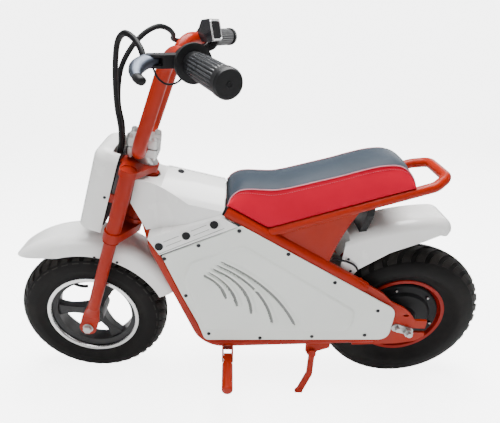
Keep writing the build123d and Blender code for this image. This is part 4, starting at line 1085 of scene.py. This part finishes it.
# %% Seat skin
GREY_SLOT, RED_SLOT, LINER_SLOT = 0, 1, 2
FOOT_RIGHT, FOOT_LEFT = TOP_COLUMNS + SIDE_ROWS, per_ring - SIDE_ROWS
round_kinds = [
    GREY_SLOT if k < TOP_COLUMNS else RED_SLOT if k < FOOT_RIGHT or k >= FOOT_LEFT else LINER_SLOT
    for k in range(per_ring)
]
last = (len(points) - 1) * per_ring
faces = ring_quads(len(points), per_ring) + [tuple(range(per_ring)), tuple(range(last, last + per_ring))]
kinds = round_kinds * (len(points) - 1) + [GREY_SLOT, GREY_SLOT]
saddle_mesh = plain_mesh("saddle", [bike(*p) for ring in points for p in ring], faces)
for face, kind in zip(saddle_mesh.polygons, kinds):
    face.material_index = kind
saddle = bpy.data.objects.new("saddle", outwards(saddle_mesh))
bpy.context.scene.collection.objects.link(saddle)
held = [
    row * per_ring + k for row in range(len(points)) for k in range(per_ring)
    if k in (0, TOP_COLUMNS) or FOOT_RIGHT <= k <= FOOT_LEFT or row in (0, len(points) - 1)
]


CLOTH_STEPS, CLOTH_PRESSURE, CLOTH_REACH = 20, 4.0, 0.0055


def fill_out(piece, pinned, pressure, most):
    """Blow the panels out with cloth pressure; pinned points stay, the rest move at most so far."""
    start = np.array([v.co for v in piece.data.vertices])
    group = piece.vertex_groups.new(name="seams")
    group.add(pinned, 1.0, "REPLACE")
    cloth = piece.modifiers.new("cloth", "CLOTH")
    settings = cloth.settings
    settings.quality = 6
    settings.mass = 0.25
    settings.tension_stiffness = settings.compression_stiffness = 18.0
    settings.shear_stiffness = 8.0
    settings.bending_stiffness = 0.6
    settings.use_pressure = True
    settings.uniform_pressure_force = pressure
    settings.vertex_group_mass = group.name
    settings.effector_weights.gravity = 0.0
    scene = bpy.context.scene
    for step in range(CLOTH_STEPS):
        scene.frame_set(step + 1)
    grown = piece.evaluated_get(bpy.context.evaluated_depsgraph_get()).data
    end = np.array([v.co for v in grown.vertices])
    moved = end - start
    far = np.linalg.norm(moved, axis=1)
    moved *= np.where(far > most, most / np.maximum(far, 1e-9), 1.0)[:, None]
    piece.modifiers.remove(cloth)
    piece.vertex_groups.clear()
    scene.frame_set(1)
    for vertex, place in zip(piece.data.vertices, start + moved):
        vertex.co = place
    return far.max()


print("cloth moved up to", round(1000 * fill_out(saddle, held, CLOTH_PRESSURE, CLOTH_REACH), 2), "mm")
smoother = saddle.modifiers.new("smoother", "SUBSURF")
smoother.levels = smoother.render_levels = 1
saddle.data.shade_smooth()
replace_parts(saddle, "seat_cushion")
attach(saddle, "chassis")

# %% [markdown]
# Vinyl is a smooth skin with a fine pressed grain. It shines softly, is duller
# where it is sat on, and creases a little near the seams. Red and grey are the
# same finish in two colours. The piping is a cord in a strip of pale vinyl
# with a row of stitches below it.


# %% Vinyl, piping and stitches
def vinyl(name, colour, shade, roughness):
    finish = Finish(name)
    worn = finish.noise(6.0, 4.0).ramp(0.35, 0.7)
    base = finish.blend(worn, colour, shade)
    pores = finish.cells(900.0).ramp(0.0, 0.6)
    pressed = finish.bump(pores, 0.00012)
    folds = finish.noise(28.0, 3.0, 0.5, finish.stretched(0.4, 1.0, 1.0))
    creases = finish.bump(folds, 0.0012, 0.35, pressed)
    shine = worn * 0.10 + roughness
    return finish.lay(Base_Color=base, Roughness=shine, Normal=creases, Specular_IOR_Level=0.12)


grey_vinyl = vinyl("grey_vinyl", (0.036, 0.047, 0.062), (0.028, 0.038, 0.050), 0.40)
red_vinyl = vinyl("red_vinyl", (0.58, 0.0001, 0.026), (0.50, 0.0001, 0.021), 0.42)
liner = moulded("seat_liner", (0.012, 0.012, 0.013), (0.018, 0.018, 0.019), 0.6, gleam=0.15)
piping_vinyl = vinyl("piping_vinyl", (0.55, 0.24, 0.28), (0.45, 0.19, 0.22), 0.4)
thread = moulded("seam_thread", (0.50, 0.10, 0.13), (0.42, 0.08, 0.10), 0.6)
for material in (grey_vinyl, red_vinyl, liner):
    saddle.data.materials.append(material)
cords = []
for side in (-1, 1):
    track = [(x + o[0] * 0.5, side * (abs(y) + 0.8), z + o[2] * 0.5) for (x, y, z), o in zip(seam, outward)]
    cords.append(tube_along("piping", track, 1.15, piping_vinyl, 10))
assembled("seat_piping", cords, "chassis")


def stitch_recipe():
    recipe = Recipe("stitches", Pitch="Float", Length="Float", Thickness="Float")
    given = recipe.given
    line = recipe.first("GeometryNodeMeshToCurve", None, {"Mesh": given["Geometry"]})
    spaced = {"Curve": line, "Length": given["Pitch"]}
    spots = recipe.node("GeometryNodeCurveToPoints", {"mode": "LENGTH"}, spaced).outputs
    turn = recipe.first("FunctionNodeAlignRotationToVector", {"axis": "Z"}, {"Vector": spots["Tangent"]})
    rod = {"Vertices": 6, "Radius": given["Thickness"], "Depth": given["Length"]}
    stitch = recipe.first("GeometryNodeMeshCylinder", None, rod)
    return recipe.close(recipe.scatter(spots["Points"], stitch, turn))


STITCHES = stitch_recipe()
rows = []
for column, side in ((per_ring - 1, -1), (TOP_COLUMNS + 1, 1)):
    proud = 0.0007 * Vector(heading(0, side, 0.3))
    chain = [saddle.data.vertices[row * per_ring + column].co + proud for row in range(4, len(points) - 4)]
    line = plain_mesh("stitch_line", chain, (), [(k, k + 1) for k in range(len(chain) - 1)])
    row = STITCHES.grow("stitch_row", line, Pitch=0.0045, Length=0.003, Thickness=0.00035, Material=thread)
    rows.append(row)
stitching = assembled("seat_stitching", rows, "chassis")
print("stitches", len(stitching.data.polygons) // 8)

# %% [markdown]
# ## Screws and plugs
#
# The covers are held by black button-head screws with a hexagon socket. The
# mudguards and the shield have smaller ones, and one wide screw holds the tank
# cover. The ends of the two diagonal tubes are closed with round plugs.

# %% Screws and plugs
SIDEWAYS = (0, -1, 0)
HEX = 2
HEAD_OUTLINES = [
    # name, rings of the hexagon, (radius, height) pairs from the middle out
    ("button_head", HEX, [(1.7, 0.6), (1.7, 2.2), (2.4, 2.3), (3.6, 1.5), (4.2, 0.2), (4.2, -1.0)]),
    ("small_head", HEX, [(1.2, 0.5), (1.2, 1.6), (1.8, 1.7), (2.6, 1.1), (3.0, 0.1), (3.0, -1.0)]),
    ("wide_head", HEX, [(2.2, 0.8), (2.2, 2.4), (3.4, 2.6), (5.6, 1.8), (6.6, 0.3), (6.6, -2.0)]),
    ("tube_plug", 0, [(1.0, 2.6), (6.0, 2.4), (10.0, 1.6), (11.8, 0.2), (11.8, -3.0)]),
]
heads = [turned(name, rings, recess) for name, recess, rings in HEAD_OUTLINES]
button_head, small_head, wide_head, tube_plug = heads
COVER_SCREWS = [
    (184, 366), (254, 399), (334, 434), (434, 382), (536, 314), (638, 241),
    (621, 171), (504, 164), (388, 157), (273, 167), (225, 273),
]
black_steel = plated("black_steel", (0.045, 0.045, 0.048), 0.35, 0.1)
MOTOR_CIRCLE = 76
outer_cover = [((x, -77.9, z), SIDEWAYS) for x, z in COVER_SCREWS]
guard_screws = [((566, -47.2, 352), SIDEWAYS), ((575, -47.2, 322), SIDEWAYS)]
tank_screw = [((216, 0, 525.5), (0.2243, 0, 0.9745))]
plugs = [((306.5, -62, 470.5), (-0.859, 0, 0.512))]
motor_heads = [
    ((REAR_AXLE.x + MOTOR_CIRCLE * math.cos(a), -25.2, REAR_AXLE.z + MOTOR_CIRCLE * math.sin(a)), SIDEWAYS)
    for a in (math.radians(46 + 60 * k) for k in range(6))
]
bright_steel = plated("bright_steel", (0.72, 0.72, 0.72), 0.25, 0.1)
chassis_heads = [
    heads_at("cover_screws", button_head, both_sides(outer_cover), black_steel),
    heads_at("guard_screws", small_head, both_sides(guard_screws), black_steel),
    heads_at("tank_screw", wide_head, tank_screw, black_steel),
    heads_at("tube_plugs", tube_plug, both_sides(plugs), black_plastic),
]
assembled("chassis_screws", chassis_heads, "chassis")
motor_screws = [heads_at("motor_screws", small_head, both_sides(motor_heads), bright_steel)]
assembled("motor_screws", motor_screws, "rear_wheel")
shield_spots = [(fork(-32, -64.2, 332), SIDEWAYS)]
fender_spots = [((31, -48.1, 346), SIDEWAYS), ((78, -48.1, 334.6), SIDEWAYS)]
steering_heads = [
    heads_at("shield_screws", small_head, both_sides(shield_spots), black_steel),
    heads_at("fender_screws", small_head, both_sides(fender_spots), black_steel),
]
assembled("steering_screws", steering_heads, "steering")
for head in heads:
    bpy.data.objects.remove(head)
print("screw meshes", [len(mesh.polygons) for mesh in chassis_heads + steering_heads])

# %% [markdown]
# ## Small parts of the frame
#
# Two shallow grooves run between the round caps of each trim strip and one
# along its lower edge, drawn as thin dark grey lines of painted shade. A black
# strap closes the gap between the gusset and the rear mudguard, and a bead of
# weld rings the tubes where they meet the plates.


# %% Painted groove shadows, strap and weld beads
STRIP_ENDS = (175, 395), (285, 447)
STRIP_FACE = 77.95


def strip_point(t, off):
    """A point along the trim strip's middle line, moved across it."""
    (ax, az), (bx, bz) = STRIP_ENDS
    length = math.hypot(bx - ax, bz - az)
    return ax + (bx - ax) * t - (bz - az) / length * off, az + (bz - az) * t + (bx - ax) / length * off


# Painted shade: the grooves are thin dark grey lines laid on the strip, standing for the shadow in a groove.
painted_groove_shadow = moulded("painted_groove_shadow", (0.30, 0.31, 0.29), (0.26, 0.27, 0.25), 0.6, gleam=0.2)
groove_shadow_lines = []
for start, end in ((0.11, 0.39), (0.61, 0.89), (-0.09, 1.12)):
    for off in ((-5.5, 5.5) if start > 0 else (-15.5,)):
        for side in (-1, 1):
            line = [(x, side * STRIP_FACE, z) for x, z in (strip_point(start, off), strip_point(end, off))]
            groove_shadow_lines.append(tube_along("groove", line, 0.55, painted_groove_shadow, 8))
assembled("strip_grooves", groove_shadow_lines, "chassis")

STRAP_LINE = [
    (529, -58, 361), (545, -56, 356), (561, -54, 350.6), (575, -52, 343), (584, -50.5, 334),
    (588, -49.5, 327),
]
straps = [
    tube_along("strap", [(x, side * y, z) for x, y, z in smooth_path(STRAP_LINE, 6)], 2.2, black_plastic, 10)
    for side in (1, -1)
]
assembled("guard_straps", straps, "chassis")


def bead_ring(centre, way, radius, thickness, wobble=0.25):
    """A ring of weld round a tube: the radius wavers as a hand weld does."""
    axis = np.array(way, float)
    axis /= np.linalg.norm(axis)
    first = np.cross(axis, (0.0, 1.0, 0.0) if abs(axis[1]) < 0.9 else (1.0, 0.0, 0.0))
    first /= np.linalg.norm(first)
    second = np.cross(axis, first)
    ring = []
    steps, ripples = 72, 24
    for k in range(steps):
        a = 2 * math.pi * k / steps
        r = radius + wobble * math.sin(ripples * a)
        ring.append(np.array(centre) + r * (math.cos(a) * first + math.sin(a) * second))
    return tube_along("weld", ring, thickness, orange, 6, closed=True)


fork_up = (math.sin(RAKE), 0, math.cos(RAKE))


fork_welds = [bead_ring(fork(0, side * 66, 241.0), fork_up, 15.2, 1.3) for side in (-1, 1)]
assembled("fork_welds", fork_welds, "steering", smooth=60)
frame_welds = []
for side in (-1, 1):
    frame_welds.append(bead_ring((505, side * 58, 374.5), (0, 1, 0), 2.0, 1.2, 0.1))
    frame_welds.append(bead_ring((590, side * 62, 301), (0.859, 0, -0.512), 12.6, 1.2))
    frame_welds.append(bead_ring((598, side * 62, 150.5), (1, 0, 0.06), 12.6, 1.2))
assembled("frame_welds", frame_welds, "chassis", smooth=60)
print("beads", len(fork_welds) + len(frame_welds))

# %% [markdown]
# ## Handlebar fittings
#
# The grips are rubber tubes with ribs along them. Two cables run from them in
# wide arcs down behind the shield, and a short lever with a dark tip stands
# before the left grip. The display is a black box with a bright frame round a
# dark glass. A black panel closes the shield from behind, and a short bent
# valve stands inside the front rim.

# %% Grip ribs
BAR_END, BAR_TOP = np.array((309.0, -290.0, BAR_HEIGHT)), np.array((217.0, -88.0, 764.0))
RIB_COUNT, RIB_START = 24, 13.0
RIB_SIZE = 86.0, 17.0, 3.0, 1.1


def grip_axes(side):
    """Origin and forward, up and inward directions at a bar end, in the upright frame."""
    inward = (BAR_TOP - BAR_END) / np.linalg.norm(BAR_TOP - BAR_END)
    ahead = np.array((-inward[1], inward[0], 0.0))
    ahead /= np.linalg.norm(ahead)
    up = np.cross(inward, ahead)
    flip = np.array((1.0, -side, 1.0))
    return BAR_END * flip, ahead * flip, up * flip, inward * flip


def rib(length, radius, width, height):
    """One raised rib along Z, at a radius, rounded at its ends."""
    points, faces = [], []
    steps = 12
    for k in range(steps + 1):
        t = k / steps
        z = RIB_START + length * t
        swell = math.sin(math.pi * min(1.0, 6 * min(t, 1 - t)) / 2)
        high = swell * height
        for off, rise in ((-0.5, -0.4), (-0.34, high * 0.8), (0, high), (0.34, high * 0.8), (0.5, -0.4)):
            points.append((radius + rise, off * width, z))
    for k in range(steps):
        for j in range(4):
            a = 5 * k + j
            faces.append((a, a + 1, a + 6, a + 5))
    faces += [(4, 3, 2, 1, 0), tuple(5 * steps + j for j in range(5))]
    mesh = outwards(plain_mesh("rib", points, faces))
    mesh.shade_smooth()
    return mesh


for side, name in ((-1, "grip_ribs_left"), (1, "grip_ribs_right")):
    origin, ahead, up, inward = grip_axes(side)
    # Painted light: the ribs take the lighter copy of the grip rubber.
    ribs = RING.grow(name, rib(*RIB_SIZE), Count=RIB_COUNT, Material=painted_lit_rib_rubber)
    turn = Matrix((heading(*ahead), heading(*up), heading(*inward))).transposed().to_4x4()
    ribs.transform(Matrix.Translation(bike(*origin)) @ turn @ Matrix.Scale(0.001, 4))
    if side > 0:
        ribs.flip_normals()
    shown(name, ribs, "steering", painted_lit_rib_rubber)
    angles = np.linspace(0, 2 * math.pi, 20, endpoint=False)
    hole = [origin - 4.2 * inward + 3.2 * (math.cos(a) * ahead + math.sin(a) * up) for a in angles]
    end_ring = tube_along(name + "_end", hole, 0.8, black_plastic, 8, closed=True)
    shown(name + "_end", end_ring, "steering")
print("ribs along the grips", RIB_COUNT)

# %% Cables and brake lever
LOOM_RADIUS = 4.5
LEFT_LOOM = [
    (196, -178, 757), (191, -174, 766), (185.6, -165, 776), (173.8, -150, 787), (159, -137, 791.5),
    (144, -120, 778), (133, -102, 747), (124, -82, 708), (118, -64, 666), (117, -52, 626), (109, -39, 586),
    (96, -34, 552),
]
RIGHT_LOOM = [
    (241, 186, 754), (222, 147, 755), (206, 111, 759), (200, 85, 765), (204, 62, 774), (199, 38, 785),
    (186, 22, 790.5), (170.5, 8, 786), (154, -4, 774), (138, -19, 755), (125, -34, 730), (119, -44, 701),
    (116, -45, 667), (117, -36, 628), (109, -23, 587), (97, -18, 552),
]
for name, route in (("loom_left", LEFT_LOOM), ("loom_right", RIGHT_LOOM)):
    tube = tube_along(name + "_cable", smooth_path(route, 7), LOOM_RADIUS, cable_rubber, 14)
    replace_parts(shown(name + "_cable", tube, "steering"), name)


def tapered(name, path, radii, flat, sides=14):
    """A closed lever-like form: flattened rings along a path, each with its own radius."""
    path = np.array(path, float)
    ways = np.gradient(path, axis=0)
    places = []
    for place, way, radius in zip(path, ways, radii):
        way = way / np.linalg.norm(way)
        across = np.cross(way, (0.0, 0.0, 1.0))
        across /= np.linalg.norm(across)
        tall = np.cross(across, way)
        for k in range(sides):
            a = 2 * math.pi * k / sides
            places.append(bike(*(place + radius * (math.cos(a) * across + flat * math.sin(a) * tall))))
    ends = [tuple(range(sides)), tuple(range(len(places) - sides, len(places)))]
    return outwards(plain_mesh(name, places, ring_quads(len(path), sides) + ends))


def in_lever_plane(inward, forward, up):
    """A point near the left grip, measured from the bar's end."""
    origin, ahead, above, along = grip_axes(-1)
    return origin + inward * along + forward * ahead + up * above


LEVER_PARTS = [
    # name, material, flatness, steps, points in the lever's plane, then radii and where along it they hold
    ("blade", lever_grey, 0.8, 5,
     [(152, 38, 0), (151, 50, 0), (147, 62, -2), (138, 72, -5), (126, 78, -9), (112, 80, -12)],
     [6, 10.5, 12.5, 12.0, 8.6, 6.4], [0, 0.06, 0.3, 0.6, 0.85, 1]),
    ("tip", black_plastic, 0.85, 4,
     [(114, 80, -12), (107, 79.5, -13), (100, 78, -14), (94, 76, -15)],
     [5.0, 7.2, 7.6, 6.8, 4.4, 1.5], [0, 0.12, 0.5, 0.85, 0.96, 1]),
]
lever_meshes = []
for name, material, flat, steps, route, radii, shares in LEVER_PARTS:
    path = smooth_path([in_lever_plane(*p) for p in route], steps)
    part = tapered(name, path, np.interp(np.linspace(0, 1, len(path)), shares, radii), flat)
    part.materials.append(material)
    lever_meshes.append(part)
lever = assembled("brake_lever_blade", lever_meshes, "steering", smooth=60)
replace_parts(lever, "brake_lever")
print("cables and lever made")

# %% Display frame and glass
FACE_LOW, FACE_HIGH, FACE_INWARD = np.array((-42.0, -4.0)), np.array((-33.0, 38.0)), 151.0


def on_display(across, along, out):
    """A point on the display's face: up the face, along the bar and out of it."""
    origin, ahead, up, inward = grip_axes(1)
    face = (FACE_HIGH - FACE_LOW) / np.linalg.norm(FACE_HIGH - FACE_LOW)
    away = np.array((-face[1], face[0]))
    spot = (FACE_LOW + FACE_HIGH) / 2 + face * across + away * out
    return origin + ahead * spot[0] + up * spot[1] + inward * (FACE_INWARD + along)


def rounded_frame(half_across, half_along, corner, out, steps=6):
    """A rectangle with round corners on the display's face."""
    ring = []
    for quarter, (sa, sl) in enumerate(((1, 1), (-1, 1), (-1, -1), (1, -1))):
        for k in range(steps + 1):
            a = math.pi / 2 * (quarter + k / steps)
            across = sa * (half_across - corner) + corner * math.cos(a)
            ring.append(on_display(across, sl * (half_along - corner) + corner * math.sin(a), out))
    return ring


silver = plated("frame_silver", (0.75, 0.75, 0.76), 0.22, 0.05)
dark_glass = moulded("dark_glass", (0.004, 0.004, 0.005), (0.006, 0.006, 0.007), 0.5, 0.000005, 0.0, 0.05)
bezel = tube_along("bezel", rounded_frame(18.0, 20.0, 6.0, 0.3), 1.9, silver, 10, closed=True)
rim_ring, glass_ring = rounded_frame(17.5, 19.5, 5.5, 0.2), rounded_frame(15.0, 17.0, 4.0, 1.1)
count = len(rim_ring)
faces = ring_quads(2, count) + [tuple(range(count, 2 * count))]
glass = outwards(plain_mesh("glass", [bike(*p) for p in rim_ring + glass_ring], faces))
glass.materials.append(dark_glass)
assembled("display_face", [bezel, glass], "steering")

# %% Shield back and valve
PANEL_OUTLINE = [(-50, 262), (50, 262), (54, 268), (54, 396), (46, 412), (-46, 412), (-54, 396), (-54, 268)]
panel = prism("shield_back", *([bike(*fork(x, y, s)) for y, s in PANEL_OUTLINE] for x in (-25.5, -22.5)))
shown("shield_back", panel, "steering", black_plastic)
valve_line = smooth_path([(-45, 0, 245), (-40, 0, 238), (-31, 0, 234), (-22, 0, 232.5), (-13, 0, 233)], 5)
valve = tube_along("valve", valve_line, 3.6, black_plastic, 12)
shown("tyre_valve", valve, "front_wheel")
print("shield panel and valve made")

# %% [markdown]
# ## The last lines
#
